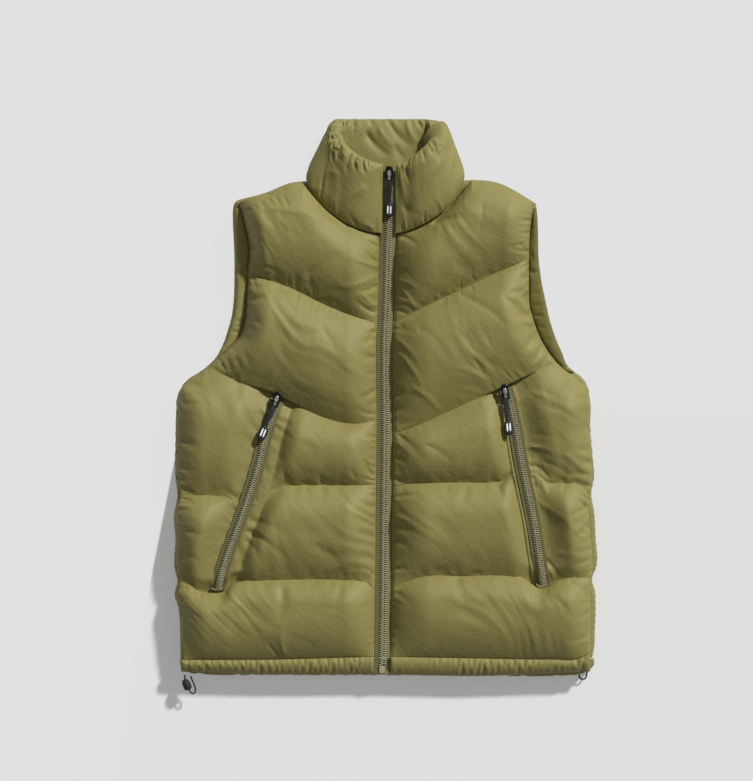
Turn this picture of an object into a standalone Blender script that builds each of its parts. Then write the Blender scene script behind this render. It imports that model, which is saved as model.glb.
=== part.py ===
"""Puffer vest, zipped up and laid flat on its back.

It is built as quilted panels, a collar ring, hem bands and zips. Tables and sizes are in millimetres
and meshes in metres. +Y points to the collar, +Z up from the surface that the back lies on, and the
wearer's right side is at -X. "out" is a distance from the middle towards one side.
"""

import math
from collections import namedtuple

import bmesh
import bpy
import numpy as np
from mathutils import Matrix, Vector

MM = 0.001
SEAM_GAP = 0.3
MIDDLE_X = 0.0
MIDDLE_Y = -1.9

# Heights above the surface.
BACK_TOP = 27.0
FRONT_FLOOR = BACK_TOP + SEAM_GAP
HEM_BACK_FLOOR = 14.3

# Padding, measured up from each panel's inner plane.
STITCHED = 6.0
ZIP_ROLL = 42.0
EDGE_ROLL = {"right": (38, 38, 38, 34, 26), "left": (40, 40, 40, 44, 40)}
SEAM_HEIGHTS = (6.0, 13.0, 13.0, 13.0, 13.0, 6.0)
BAFFLE_CREST = 0.60
BAFFLE_POWER = 2.3
CHANNEL_REST = 13.0
CHANNEL_RISE = 5.5
CHANNEL_ROLL = 42.0
BAFFLE_HEIGHTS = {"hem": 35.0, "lower": 37.0, "pocket": 37.0, "chest": 38.0, "yoke": 36.0}
HEM_BAND_HEIGHT = 10.5
HEM_BAND_SEAM = 4.0
HEM_BAND_INNER_ROLL = 6.0
HEM_BAND_OUTER_ROLL = 9.0

# Zips.
ZIP_HALF_CHANNEL = 10.8
ZIP_TAPE_THICK = 1.6
ZIP_CHAIN_HALF = 4.3
ZIP_CHAIN_THICK = 2.6
ZIP_CHAIN_RISE = 1.4
ZIP_CHAIN_CHAMFER = (1.2, 0.8)
ZIP_TAPE_ENDS = (-374.0, 304.0)
ZIP_CHAIN_ENDS = (-362.6, 288.4)
ZIP_TAPE_EDGE_GAP = 0.45
ZIP_STEPS = (20, 12)
ZIP_BOX_Y = -368.0
ZIP_BOX_OUTLINE = ((-4.0, -5.0), (4.0, -5.0), (4.0, 5.0), (-4.0, 5.0))
ZIP_BOX_LOW = -0.6
ZIP_BOX_HIGH = 4.2
ZIP_BOX_CHAMFER = 0.8
POCKET_HALF_CHANNEL = 10.5
POCKET_TAPE_HALF = 9.6
POCKET_CHAIN_HALF = 3.8

# Grids: spaces between points.
BAND_ROWS = 9
INNER_COLUMNS = 9
OUTER_COLUMNS = 7
NECK_SHARE = 0.5
CHANNEL_SHARE = 0.08
CHANNEL_BLEND = 6
POCKET_SEARCH_STEPS = 40
HEM_BAND_ROWS = 6
HEM_BAND_COLUMNS = 16

Side = namedtuple("Side", "name sign")
RIGHT = Side("right", -1)
LEFT = Side("left", 1)

ZIP_LEVEL_END = 190.0
ZIP_LINE = (  # y, x
    (-380, -5), (-247, -3), (-139, -2), (-45, -1), (90, -1), (131, 1), (185, 2), (225, 4),
    (320, 5),
)
ZIP_RISE = (  # y, z of the tapes' underside
    (-380, 29.2), (120, 29.2), (190, 29.6), (215, 32.0), (245, 37.0), (280, 43.5),
    (320, 50.0),
)
FRONT_EDGE = {  # y, out: the side seam, then the armhole
    "right": (
        (-380, 276), (-345, 277), (-318, 277.5), (-288, 279), (-265, 283), (-248, 280.5),
        (-228, 283.5), (-190, 283.5), (-155, 284), (-133, 280.5), (-105, 283), (-60, 283.5),
        (-25, 283), (0, 280), (14, 274), (24, 262), (43, 236), (61, 217), (82, 198), (104, 190),
        (123, 188), (171, 186), (202, 184), (225, 188), (255, 195.5), (270, 199),
    ),
    "left": (
        (-380, 276), (-328, 277), (-288, 278), (-261, 277), (-234, 280), (-180, 277), (-139, 275),
        (-112, 279), (-85, 279), (-45, 276), (0, 275), (14, 269), (28, 255), (39, 239), (53, 226),
        (76, 211), (104, 200), (123, 195), (153, 194), (190, 194), (217, 195), (244, 198),
        (270, 204),
    ),
}
SEAMS = {  # out, y: from the zip edge to the outer edge, whose own lines give the first and last out
    "right": {
        "hem_edge": ((10, -375), (150, -375), (268, -371)),
        "hem_top": ((10, -350), (180, -354), (271, -354)),
        "lower": (
            (12, -258), (32, -245), (98, -246), (180, -246), (206, -253), (224, -261), (244, -256),
            (280, -250),
        ),
        "middle": (
            (12, -119), (63, -119), (142, -120), (167, -135), (200, -143), (215, -135), (278, -130),
        ),
        "chest": ((12, -32), (43, -36), (76, -30), (126, -8), (156, 7), (195, 19), (238, 42)),
        "yoke": ((12, 99), (40, 108), (76, 122), (130, 148), (187, 167)),
    },
    "left": {
        "hem_edge": ((8, -375), (119, -377), (276, -371)),
        "hem_top": ((8, -350), (119, -352), (241, -355), (276, -345)),
        "lower": (
            (8, -258), (33, -244), (105, -239), (186, -239), (210, -258), (232, -247), (279, -243),
        ),
        "middle": (
            (8, -122), (29, -117), (90, -115), (151, -116), (173, -104), (205, -104), (217, -114),
            (276, -129),
        ),
        "chest": ((8, -52), (60, -31), (119, -4), (151, 9), (192, 28), (232, 46)),
        "yoke": ((10, 99), (47, 119), (83, 136), (137, 162), (194, 187)),
    },
}
NECKLINE = {  # out, y: from the zip edge to the neck point
    "right": ((8, 219), (36, 225), (56, 234), (76, 248), (96, 269), (111, 287)),
    "left": ((14, 219), (33, 224), (64, 238), (84, 254), (101, 273), (116, 293)),
}
SHOULDER = {  # out, y: from the neck point to the shoulder tip
    "right": (
        (111, 287), (126, 287.5), (141, 282.5), (157, 276), (173, 271.5), (187, 267.5), (198, 263),
    ),
    "left": ((116, 293), (138, 290.5), (155, 285.5), (173, 278), (189, 268), (201, 261)),
}
POCKET_LINE = {  # y, out
    "right": (
        (-260, 226), (-223, 217), (-185, 203), (-135, 185), (-90, 171), (-53, 162), (-3, 146),
        (60, 126),
    ),
    "left": (
        (-260, 214), (-204, 205), (-166, 199), (-128, 191), (-90, 183), (-43, 175), (11, 163),
        (70, 150),
    ),
}
BACK_OUTLINE = {  # out, y: up the side, round the armhole and over the shoulder to the neck
    "right": (
        (268, -353), (277, -340), (278, -318), (281, -285), (286, -268), (282, -250), (286, -232),
        (285, -190), (287, -160), (282, -133), (285, -110), (285, -60), (284, -25), (282, 2),
        (277, 13), (268, 24), (249, 36), (233, 50), (222, 68), (214, 90), (209, 108), (206, 131),
        (205, 160), (205, 190), (206, 215), (207, 240), (206.5, 256), (203, 265), (194, 268.5),
        (184, 271), (172, 274), (157, 279), (141, 286), (128, 290.5), (116, 292), (60, 289.5),
    ),
    "left": (
        (270, -353), (281, -340), (284, -318), (285, -285), (284, -262), (280, -247), (286, -230),
        (285, -190), (283, -155), (279, -131), (283, -108), (281, -80), (278, -45), (277, -2),
        (275, 12), (266, 27), (250, 39), (239, 61), (232, 77), (223, 104), (217, 131), (212, 155),
        (208, 185), (207, 220), (206, 245), (204, 262), (189, 271.5), (173, 281), (156, 289),
        (140, 293), (121, 294), (60, 289.5),
    ),
}
BACK_ROUND = (  # inset from the outline, z
    (16.0, 0.0), (9.0, 1.6), (3.6, 5.6), (0.7, 11.0), (0.0, 16.0), (1.6, 21.0), (5.6, 25.2),
    (7.0, BACK_TOP),
)
BACK_NECK = (60.0, 289.5)
BACK_NECK_STEPS = 6
BACK_HEM = (260.0, -258.0, -353.0)
HEM_POINTS = 24
FACING_LOW = 34.0
FACING_HIGH = 256.0
FACING_GAP = 0.45
FACING_LEAST = 2.0
FACING_THICK = 3.2
FACING_ROWS = slice(15, 28)
FACING_COLUMNS = 3
HEM_BACK_TOP = (258.0, -258.0, -353.8)
HEM_BACK_OUTLINE = (  # x, y: round the lower edge of the back, from the right side to the left
    (-268, -353.5), (-275, -356), (-277.5, -362), (-275, -369), (-266, -373), (-252, -374.5),
    (-153, -376), (0, -376.5), (119, -377), (248, -376.5), (262, -375.5), (274, -370.5),
    (282, -363), (280.5, -356), (270, -353.5),
)
OUTLINE_STEP = 14.0
HEM_BACK_ROUND = (  # inset from the outline, z
    (3.2, HEM_BACK_FLOOR), (0.8, 16.6), (0.0, 20.5), (0.9, 24.6), (2.6, BACK_TOP),
)

Ring = namedtuple("Ring", "base_x base_y base_z rim_x rim_y rim_z pad")
COLLAR_STATIONS = (  # mid-surface from the zip's right side, round the back, to its left side
    Ring(-7.4, 221.0, 35.5, -6.6, 306.5, 50.5, 2.6),
    Ring(-21.0, 222.6, 37.0, -21.0, 312.0, 54.0, 9.5),
    Ring(-42.0, 229.5, 38.0, -40.0, 320.5, 56.0, 11.5),
    Ring(-64.0, 241.5, 38.5, -55.0, 336.0, 54.0, 11.5),
    Ring(-85.0, 260.0, 38.0, -66.0, 354.0, 46.0, 11.0),
    Ring(-99.0, 280.0, 35.0, -70.0, 366.0, 34.0, 10.0),
    Ring(-100.0, 293.5, 24.0, -66.0, 371.0, 21.0, 10.0),
    Ring(-80.0, 294.0, 14.5, -52.0, 373.5, 13.0, 11.0),
    Ring(-40.0, 293.0, 12.8, -28.0, 374.0, 12.4, 12.0),
    Ring(3.0, 292.6, 12.6, 3.0, 374.0, 12.2, 12.0),
    Ring(46.0, 293.0, 12.8, 34.0, 374.0, 12.4, 12.0),
    Ring(84.0, 294.0, 14.5, 62.0, 373.0, 13.0, 11.0),
    Ring(103.0, 293.5, 24.0, 76.0, 370.0, 21.0, 10.0),
    Ring(101.5, 281.0, 35.0, 77.0, 363.5, 34.0, 10.0),
    Ring(88.0, 261.5, 38.0, 69.0, 349.0, 46.0, 11.0),
    Ring(67.0, 242.5, 38.5, 57.0, 335.0, 54.0, 11.5),
    Ring(46.0, 230.5, 38.0, 42.0, 321.5, 56.0, 11.5),
    Ring(28.0, 223.5, 37.0, 27.0, 313.0, 54.0, 9.5),
    Ring(15.3, 221.0, 35.5, 16.4, 308.5, 50.5, 2.6),
)
COLLAR_SEAM_HALF = 2.6
COLLAR_INSIDE = 0.8
COLLAR_ARCH = 2.6
COLLAR_AROUND = 46
COLLAR_UP = 8
COLLAR_END_SHARE = 0.35


def hermite(table, at):
    """Smooth curve through a table's rows, read at each value of its first column."""
    rows = np.array(table, float)
    knots, values = rows[:, 0], rows[:, 1:]
    steps = np.diff(knots)[:, None]
    chords = np.diff(values, axis=0) / steps
    inside = (chords[:-1] * steps[1:] + chords[1:] * steps[:-1]) / (steps[1:] + steps[:-1])
    slopes = np.vstack([chords[:1], inside, chords[-1:]])
    at = np.clip(np.asarray(at, float), knots[0], knots[-1])
    i = np.clip(np.searchsorted(knots, at, side="right") - 1, 0, len(knots) - 2)
    h = (knots[i + 1] - knots[i])[..., None]
    s = ((at - knots[i]) / (knots[i + 1] - knots[i]))[..., None]
    found = (
        (2 * s**3 - 3 * s**2 + 1) * values[i]
        + (s**3 - 2 * s**2 + s) * h * slopes[i]
        + (3 * s**2 - 2 * s**3) * values[i + 1]
        + (s**3 - s**2) * h * slopes[i + 1]
    )
    return found[..., 0] if found.shape[-1] == 1 else found


def along(points, share):
    """Smooth curve through points, read at shares of its length."""
    rows = np.array(points, float)
    length = np.concatenate([[0.0], np.cumsum(np.linalg.norm(np.diff(rows, axis=0), axis=1))])
    return hermite(np.column_stack([length / length[-1], rows]), share)


def spread(count):
    """Shares from 0 to 1 that lie closer together at both ends."""
    return (1 - np.cos(np.linspace(0, math.pi, count + 1))) / 2


def arch(share, power=2.3):
    """Height of a padded baffle across its width, 0 at its seams and 1 at its crest."""
    return np.sqrt(np.clip(1 - np.abs(2 * np.asarray(share) - 1) ** power, 0, 1))


def lens(share):
    """Height of a quilted baffle from its lower seam to its upper one, nearer which its crest is."""
    below = (BAFFLE_CREST - share) / BAFFLE_CREST
    above = (share - BAFFLE_CREST) / (1 - BAFFLE_CREST)
    return 1 - np.maximum(below, above) ** BAFFLE_POWER


def slope_off(distance, radius):
    """Padding that slopes down to a seam: 0 on the seam, 1 from the radius inwards."""
    return 1 - (1 - np.clip(distance / radius, 0, 1)) ** 2


def roll(distance, radius):
    """Round edge of padding: 0 on the edge, 1 from the radius inwards."""
    return np.sqrt(np.clip(1 - (1 - np.clip(distance / radius, 0, 1)) ** 2, 0, 1))


def ease(value):
    value = np.clip(value, 0, 1)
    return value * value * (3 - 2 * value)


# Edges and seams of the fronts, as functions of one side.


def zip_out(side, y):
    return side.sign * hermite(ZIP_LINE, y) + ZIP_HALF_CHANNEL


def edge_out(side, y):
    return hermite(FRONT_EDGE[side.name], y)


def seam_curve(side, name):
    """A seam from the zip edge to the outer edge, as a function of the share of its width."""
    rows = [list(row) for row in SEAMS[side.name][name]]
    rows[0][0] = float(zip_out(side, rows[0][1]))
    rows[-1][0] = float(edge_out(side, rows[-1][1]))
    first, last = rows[0][0], rows[-1][0]

    def read(u):
        out = first + (last - first) * np.asarray(u, float)
        return np.stack([out, hermite(rows, out)], axis=-1)

    return read


def top_curve(side):
    """The neckline and the shoulder, which meet at the neck point at NECK_SHARE."""
    neck = [list(row) for row in NECKLINE[side.name]]
    neck[0][0] = float(zip_out(side, neck[0][1]))
    tip = [list(row) for row in SHOULDER[side.name]]
    tip[-1][0] = float(edge_out(side, tip[-1][1]))

    def read(u):
        u = np.asarray(u, float)[..., None]
        on_neck = along(neck, np.clip(u[..., 0] / NECK_SHARE, 0, 1))
        on_shoulder = along(tip, np.clip((u[..., 0] - NECK_SHARE) / (1 - NECK_SHARE), 0, 1))
        return np.where(u <= NECK_SHARE, on_neck, on_shoulder)

    return read


def patch(side, low, high, u, t):
    """Points between two seams and the two edges that join them, at shares u across and t up."""
    u, t = np.broadcast_arrays(u, t)
    low_in, low_out, high_in, high_out = low(0.0), low(1.0), high(0.0), high(1.0)
    y_in = low_in[1] + (high_in[1] - low_in[1]) * t
    y_out = low_out[1] + (high_out[1] - low_out[1]) * t
    inner = np.stack([zip_out(side, y_in), y_in], axis=-1)
    outer = np.stack([edge_out(side, y_out), y_out], axis=-1)
    u, t = u[..., None], t[..., None]
    corners_in = (1 - u) * ((1 - t) * low_in + t * high_in)
    corners_out = u * ((1 - t) * low_out + t * high_out)
    between = (1 - t) * low(u[..., 0]) + t * high(u[..., 0])
    return between + (1 - u) * inner + u * outer - corners_in - corners_out


def share_at_pocket(side, low, high, t, offset):
    """Share across at which a row of a patch meets the pocket's line, moved outwards by offset."""
    below, above = np.zeros_like(t), np.ones_like(t)
    for _ in range(POCKET_SEARCH_STEPS):
        middle = (below + above) / 2
        point = patch(side, low, high, middle, t)
        short = point[..., 0] < hermite(POCKET_LINE[side.name], point[..., 1]) + offset
        below, above = np.where(short, middle, below), np.where(short, above, middle)
    return (below + above) / 2


CHANNEL_OFFSETS = (
    -POCKET_HALF_CHANNEL, -POCKET_TAPE_HALF, -POCKET_CHAIN_HALF,
    POCKET_CHAIN_HALF, POCKET_TAPE_HALF, POCKET_HALF_CHANNEL,
)
POCKET_BANDS = (1, 2)
CHANNEL_FIRST = INNER_COLUMNS
CHANNEL_LAST = INNER_COLUMNS + len(CHANNEL_OFFSETS) - 1
PLAIN_CHANNEL = np.linspace(NECK_SHARE, NECK_SHARE + CHANNEL_SHARE, len(CHANNEL_OFFSETS))


def columns(anchors):
    """Shares across for every column, from those of the channel's columns."""
    inner = spread(INNER_COLUMNS)[:-1] * anchors[0]
    outer = anchors[-1] + spread(OUTER_COLUMNS)[1:] * (1 - anchors[-1])
    return np.concatenate([inner, anchors, outer])


def channel_shares(side, low, high, rows):
    """Shares across of the pocket channel's columns, at each row of a patch."""
    found = [share_at_pocket(side, low, high, rows, offset) for offset in CHANNEL_OFFSETS]
    return np.stack(found, axis=1)


def front_grid(side):
    """Rows of points on a front from the hem seam to the shoulder: x, y and the padding's height."""
    names = ("hem_top", "lower", "middle", "chest", "yoke")
    curves = [seam_curve(side, name) for name in names] + [top_curve(side)]
    points, heights = [], []
    rows = spread(BAND_ROWS)
    for band, (low, high, rise) in enumerate(zip(curves, curves[1:], BAFFLE_HEIGHTS.values())):
        if band in POCKET_BANDS:
            anchors = channel_shares(side, low, high, rows)
        elif band == POCKET_BANDS[0] - 1:
            top = channel_shares(side, high, curves[band + 2], np.zeros(1))[0]
            anchors = PLAIN_CHANNEL + rows[:, None] * (top - PLAIN_CHANNEL)
        elif band == POCKET_BANDS[-1] + 1:
            start = channel_shares(side, curves[band - 1], low, np.ones(1))[0]
            anchors = start + rows[:, None] * (PLAIN_CHANNEL - start)
        else:
            anchors = np.repeat(PLAIN_CHANNEL[None, :], len(rows), axis=0)
        across = np.stack([columns(row) for row in anchors])
        at = patch(side, low, high, across, rows[:, None])
        from_edge = at[:, :, None, :] - at[:, -1][None, None, :, :]
        from_edge = np.min(np.linalg.norm(from_edge, axis=-1), axis=-1)
        from_zip = at[..., 0] - zip_out(side, at[..., 1])
        sides = slope_off(from_zip, ZIP_ROLL) * slope_off(from_edge, EDGE_ROLL[side.name][band])
        seam = SEAM_HEIGHTS[band] + (SEAM_HEIGHTS[band + 1] - SEAM_HEIGHTS[band]) * rows
        puff = (seam - STITCHED + (rise - seam) * lens(rows))[:, None]
        height = STITCHED + puff * sides
        if band in POCKET_BANDS:
            from_line = np.abs(at[..., 0] - hermite(POCKET_LINE[side.name], at[..., 1]))
            nearness = 1 - ease((from_line - POCKET_HALF_CHANNEL) / CHANNEL_ROLL)
            end = rows if band == POCKET_BANDS[0] else 1 - rows
            rest = STITCHED + (CHANNEL_REST - STITCHED) * ease(end * CHANNEL_BLEND)
            rest = rest + CHANNEL_RISE * arch((rows + POCKET_BANDS.index(band)) / len(POCKET_BANDS))
            height = height * (1 - nearness) + rest[:, None] * nearness
        start_row = 0 if band == 0 else 1
        points.append(at[start_row:])
        heights.append(height[start_row:])
    return np.concatenate(points), np.concatenate(heights)


def lift(side, points, heights, floor):
    """Points in space from a side's plan points and heights above a plane."""
    return np.stack([side.sign * points[..., 0], points[..., 1], floor + heights], axis=-1)


# Making solids.


def make_object(name, bm, material, smooth=True):
    bmesh.ops.recalc_face_normals(bm, faces=bm.faces[:])
    for vert in bm.verts:
        vert.co = (vert.co - Vector((MIDDLE_X, MIDDLE_Y, 0.0))) * MM
    mesh = bpy.data.meshes.new(name)
    bm.to_mesh(mesh)
    bm.free()
    if smooth:
        mesh.shade_smooth()
        mesh.set_sharp_from_angle(angle=math.radians(50))
    mesh.materials.append(material)
    made = bpy.data.objects.new(name, mesh)
    bpy.context.collection.objects.link(made)
    return made


def close_grid(name, top, bottom, material):
    """Closed solid between two grids of points with the same rows and columns."""
    bm = bmesh.new()
    rows, cols = top.shape[:2]
    sheets = []
    for grid in (top, bottom):
        sheets.append([[bm.verts.new(grid[r, c]) for c in range(cols)] for r in range(rows)])
        for r in range(rows - 1):
            for c in range(cols - 1):
                v = sheets[-1]
                bm.faces.new((v[r][c], v[r][c + 1], v[r + 1][c + 1], v[r + 1][c]))
    rings = [grid_edge(sheet) for sheet in sheets]
    join_rings(bm, rings[0], rings[1])
    return make_object(name, bm, material)


def grid_edge(sheet):
    """The vertices round a grid, in order."""
    last = sheet[-1][::-1]
    up = [row[-1] for row in sheet[1:-1]]
    down = [row[0] for row in sheet[-2:0:-1]]
    return sheet[0] + up + last + down


def join_rings(bm, one, other):
    for i in range(len(one)):
        j = (i + 1) % len(one)
        bm.faces.new((one[i], one[j], other[j], other[i]))


def plain_backed_panel(name, top, floor, material):
    """Closed solid from a grid of points down to a plane."""
    bm = bmesh.new()
    rows, cols = top.shape[:2]
    sheet = [[bm.verts.new(top[r, c]) for c in range(cols)] for r in range(rows)]
    for r in range(rows - 1):
        for c in range(cols - 1):
            bm.faces.new((sheet[r][c], sheet[r][c + 1], sheet[r + 1][c + 1], sheet[r + 1][c]))
    ring = grid_edge(sheet)
    low = [bm.verts.new((v.co.x, v.co.y, floor)) for v in ring]
    join_rings(bm, ring, low)
    bmesh.ops.triangulate(bm, faces=[bm.faces.new(low)])
    return make_object(name, bm, material)


def inset_ring(outline, distance):
    """A closed outline in plan, moved inwards."""
    after, before = np.roll(outline, -1, axis=0), np.roll(outline, 1, axis=0)
    run = after - before
    normal = np.stack([-run[:, 1], run[:, 0]], axis=1) / np.linalg.norm(run, axis=1)[:, None]
    area = np.sum(outline[:, 0] * after[:, 1] - after[:, 0] * outline[:, 1])
    return outline + normal * distance * (1 if area > 0 else -1)


def rounded_slab(name, outline, levels, material):
    """Closed slab from an outline in plan, with a rounded edge of (inset, z) levels, lowest first."""
    bm = bmesh.new()
    rings = []
    for distance, z in levels:
        rings.append([bm.verts.new((x, y, z)) for x, y in inset_ring(outline, distance)])
    for one, other in zip(rings, rings[1:]):
        join_rings(bm, one, other)
    caps = [bm.faces.new(rings[0]), bm.faces.new(rings[-1])]
    bmesh.ops.triangulate(bm, faces=caps)
    return make_object(name, bm, material)


def swept_strip(name, centres, section, material):
    """Closed strip along a line of centres, with a closed section of (across, up) points."""
    bm = bmesh.new()
    rings = []
    for centre in centres:
        rings.append([bm.verts.new((centre[0] + a, centre[1], centre[2] + b)) for a, b in section])
    for one, other in zip(rings, rings[1:]):
        join_rings(bm, one, other)
    bm.faces.new(rings[0])
    bm.faces.new(rings[-1])
    return make_object(name, bm, material)


def plate(outline, low, high, chamfer=0.0, hole=None):
    """Closed plate from an outline, with a chamfered top and bottom edge and an optional hole."""
    bm = bmesh.new()
    if hole is None:
        levels = [(chamfer, low), (0.0, low + chamfer), (0.0, high - chamfer), (chamfer, high)]
        if chamfer == 0.0:
            levels = [(0.0, low), (0.0, high)]
        shape = np.array(outline, float)
        rings = [[bm.verts.new((x, y, z)) for x, y in inset_ring(shape, d)] for d, z in levels]
        for one, other in zip(rings, rings[1:]):
            join_rings(bm, one, other)
        bm.faces.new(rings[0])
        bm.faces.new(rings[-1])
        return bm
    rings = {}
    for key, shape in (("outer", outline), ("inner", hole)):
        for z in (low, high):
            rings[key, z] = [bm.verts.new((x, y, z)) for x, y in shape]
        join_rings(bm, rings[key, low], rings[key, high])
    for z in (low, high):
        join_rings(bm, rings["outer", z], rings["inner", z])
    return bm


def place(bm, frame):
    bmesh.ops.transform(bm, matrix=frame, verts=bm.verts)
    return bm


# Materials.


def material(name, colour, roughness, metallic=0.0):
    made = bpy.data.materials.new(name)
    made.use_nodes = True
    shader = made.node_tree.nodes["Principled BSDF"]
    shader.inputs["Base Color"].default_value = (*colour, 1.0)
    shader.inputs["Roughness"].default_value = roughness
    shader.inputs["Metallic"].default_value = metallic
    made.diffuse_color = (*colour, 1.0)
    return made


def make_materials():
    return {
        "shell": material("shell", (0.27, 0.25, 0.085), 0.55),
        "facing": material("facing", (0.24, 0.22, 0.075), 0.6),
        "tape": material("tape", (0.22, 0.20, 0.08), 0.75),
        "chain": material("chain", (0.30, 0.28, 0.13), 0.4),
        "metal": material("metal", (0.03, 0.03, 0.032), 0.35, 0.9),
        "plastic": material("plastic", (0.012, 0.012, 0.013), 0.4),
        "cord": material("cord", (0.015, 0.015, 0.015), 0.8),
    }


# Pieces.


def make_front(side, mats):
    """A padded front, and the tape and chain of its pocket zip, which lie in its channel."""
    points, heights = front_grid(side)
    top = lift(side, points, heights, FRONT_FLOOR)
    plain_backed_panel(f"front_{side.name}", top, FRONT_FLOOR, mats["shell"])
    first_row, last_row = BAND_ROWS, 3 * BAND_ROWS
    channel = top[first_row : last_row + 1]
    tape = channel[:, CHANNEL_FIRST + 1 : CHANNEL_LAST]
    raised = tape + np.array([0, 0, SEAM_GAP])
    close_grid(
        f"pocket_tape_{side.name}", raised + np.array([0, 0, ZIP_TAPE_THICK]), raised, mats["tape"]
    )
    chain = raised[1:-2, 1:-1] + np.array([0, 0, ZIP_TAPE_THICK + SEAM_GAP])
    close_grid(
        f"pocket_chain_{side.name}", chain + np.array([0, 0, ZIP_CHAIN_THICK]), chain, mats["chain"]
    )
    return top


def make_hem_band(side, mats):
    """The narrow band below a front, from its seam to the lower edge."""
    low, high = seam_curve(side, "hem_edge"), seam_curve(side, "hem_top")
    rows, across = spread(HEM_BAND_ROWS), spread(HEM_BAND_COLUMNS)
    at = patch(side, low, high, across[None, :], rows[:, None])
    at[..., 1] -= 2 * SEAM_GAP * rows[:, None]
    out, y = at[..., 0], at[..., 1]
    ends = roll(out - zip_out(side, y), HEM_BAND_INNER_ROLL)
    ends = ends * roll(edge_out(side, y) - out, HEM_BAND_OUTER_ROLL)
    height = HEM_BAND_SEAM + (HEM_BAND_HEIGHT - HEM_BAND_SEAM) * arch(rows)[:, None] * ends
    plain_backed_panel(
        f"hem_front_{side.name}", lift(side, at, height, FRONT_FLOOR), FRONT_FLOOR, mats["shell"]
    )


def smooth_outline(points, spacing):
    """Points at even spacing on the smooth open curve through some points."""
    rows = np.array(points, float)
    length = np.sum(np.linalg.norm(np.diff(rows, axis=0), axis=1))
    return along(rows, np.linspace(0, 1, int(round(length / spacing)) + 1))


def straight_edge(start_x, end_x, y):
    """Even points along a level line."""
    return np.column_stack([np.linspace(start_x, end_x, HEM_POINTS), np.full(HEM_POINTS, y)])


def make_back(mats):
    right = smooth_outline(BACK_OUTLINE["right"], OUTLINE_STEP) * np.array([-1, 1])
    left = smooth_outline(BACK_OUTLINE["left"], OUTLINE_STEP)
    neck_half, neck_y = BACK_NECK
    across = np.linspace(-neck_half, neck_half, BACK_NECK_STEPS + 1)[1:-1]
    neck = np.column_stack([across, np.full(len(across), neck_y)])
    hem = straight_edge(*BACK_HEM)
    outline = np.concatenate([right, neck, left[::-1], hem])
    rounded_slab("back", outline, BACK_ROUND, mats["shell"])


def make_hem_back(mats):
    rows = np.array(HEM_BACK_OUTLINE, float)
    lower = smooth_outline(rows, OUTLINE_STEP)
    outline = np.concatenate([lower, straight_edge(*HEM_BACK_TOP)])
    rounded_slab("hem_back", outline, HEM_BACK_ROUND, mats["shell"])


def make_armhole_facing(side, front_top, mats):
    """The strip of the back's inside that shows round an armhole, beside the front's edge."""
    edge = front_top[:, -1]
    edge = edge[(edge[:, 1] > FACING_LOW) & (edge[:, 1] < FACING_HIGH)]
    y = edge[:, 1]
    inner = side.sign * edge[:, 0] + FACING_GAP
    outline = smooth_outline(BACK_OUTLINE[side.name][FACING_ROWS], OUTLINE_STEP)
    by_height = outline[np.argsort(outline[:, 1])]
    outer = np.interp(y, by_height[:, 1], by_height[:, 0]) - BACK_ROUND[-1][0] + FACING_GAP
    outer = np.maximum(outer, inner + FACING_LEAST)
    across = np.linspace(0, 1, FACING_COLUMNS + 1)
    out = inner[:, None] + (outer - inner)[:, None] * across
    points = np.stack([out, np.repeat(y[:, None], len(across), axis=1)], axis=-1)
    rise = np.repeat(FACING_THICK * (1 + arch(across))[None, :] / 2, len(y), axis=0)
    low = lift(side, points, np.zeros_like(out), FRONT_FLOOR)
    high = lift(side, points, rise, FRONT_FLOOR)
    close_grid(f"armhole_facing_{side.name}", high, low, mats["facing"])


def collar_surface(around, up):
    """Mid-surface points of the collar and its padding, at stations around and shares up."""
    rows = np.array(COLLAR_STATIONS, float)
    found = hermite(np.column_stack([np.arange(len(rows)), rows]), around)
    base, rim, pad = found[:, 0:3], found[:, 3:6], found[:, 6]
    return base[:, None, :] + (rim - base)[:, None, :] * up[None, :, None], pad


def make_collar(mats):
    even = np.linspace(0, 1, COLLAR_AROUND + 1)
    around = spread(COLLAR_AROUND) * COLLAR_END_SHARE + even * (1 - COLLAR_END_SHARE)
    around = around * (len(COLLAR_STATIONS) - 1)
    up = spread(COLLAR_UP)
    middle, pad = collar_surface(around, up)
    along_ring = np.gradient(middle, axis=0)
    up_wall = np.gradient(middle, axis=1)
    normal = np.cross(up_wall, along_ring)
    normal /= np.linalg.norm(normal, axis=2)[..., None]
    arched = arch(up, COLLAR_ARCH)[None, :]
    half = COLLAR_SEAM_HALF + (pad[:, None] - COLLAR_SEAM_HALF) * arched
    outer = middle + normal * half[..., None]
    inner = middle - normal * half[..., None] * COLLAR_INSIDE
    outer[..., 2] = np.maximum(outer[..., 2], 0.0)
    inner[..., 2] = np.maximum(inner[..., 2], 0.0)
    close_grid("collar", outer, inner, mats["shell"])


def zip_centres(start, end):
    """Points along the middle of the main zip, closer together where it climbs the collar."""
    level = np.linspace(start, ZIP_LEVEL_END, ZIP_STEPS[0])[:-1]
    y = np.concatenate([level, np.linspace(ZIP_LEVEL_END, end, ZIP_STEPS[1])])
    return np.column_stack([hermite(ZIP_LINE, y), y, hermite(ZIP_RISE, y)])


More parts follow.
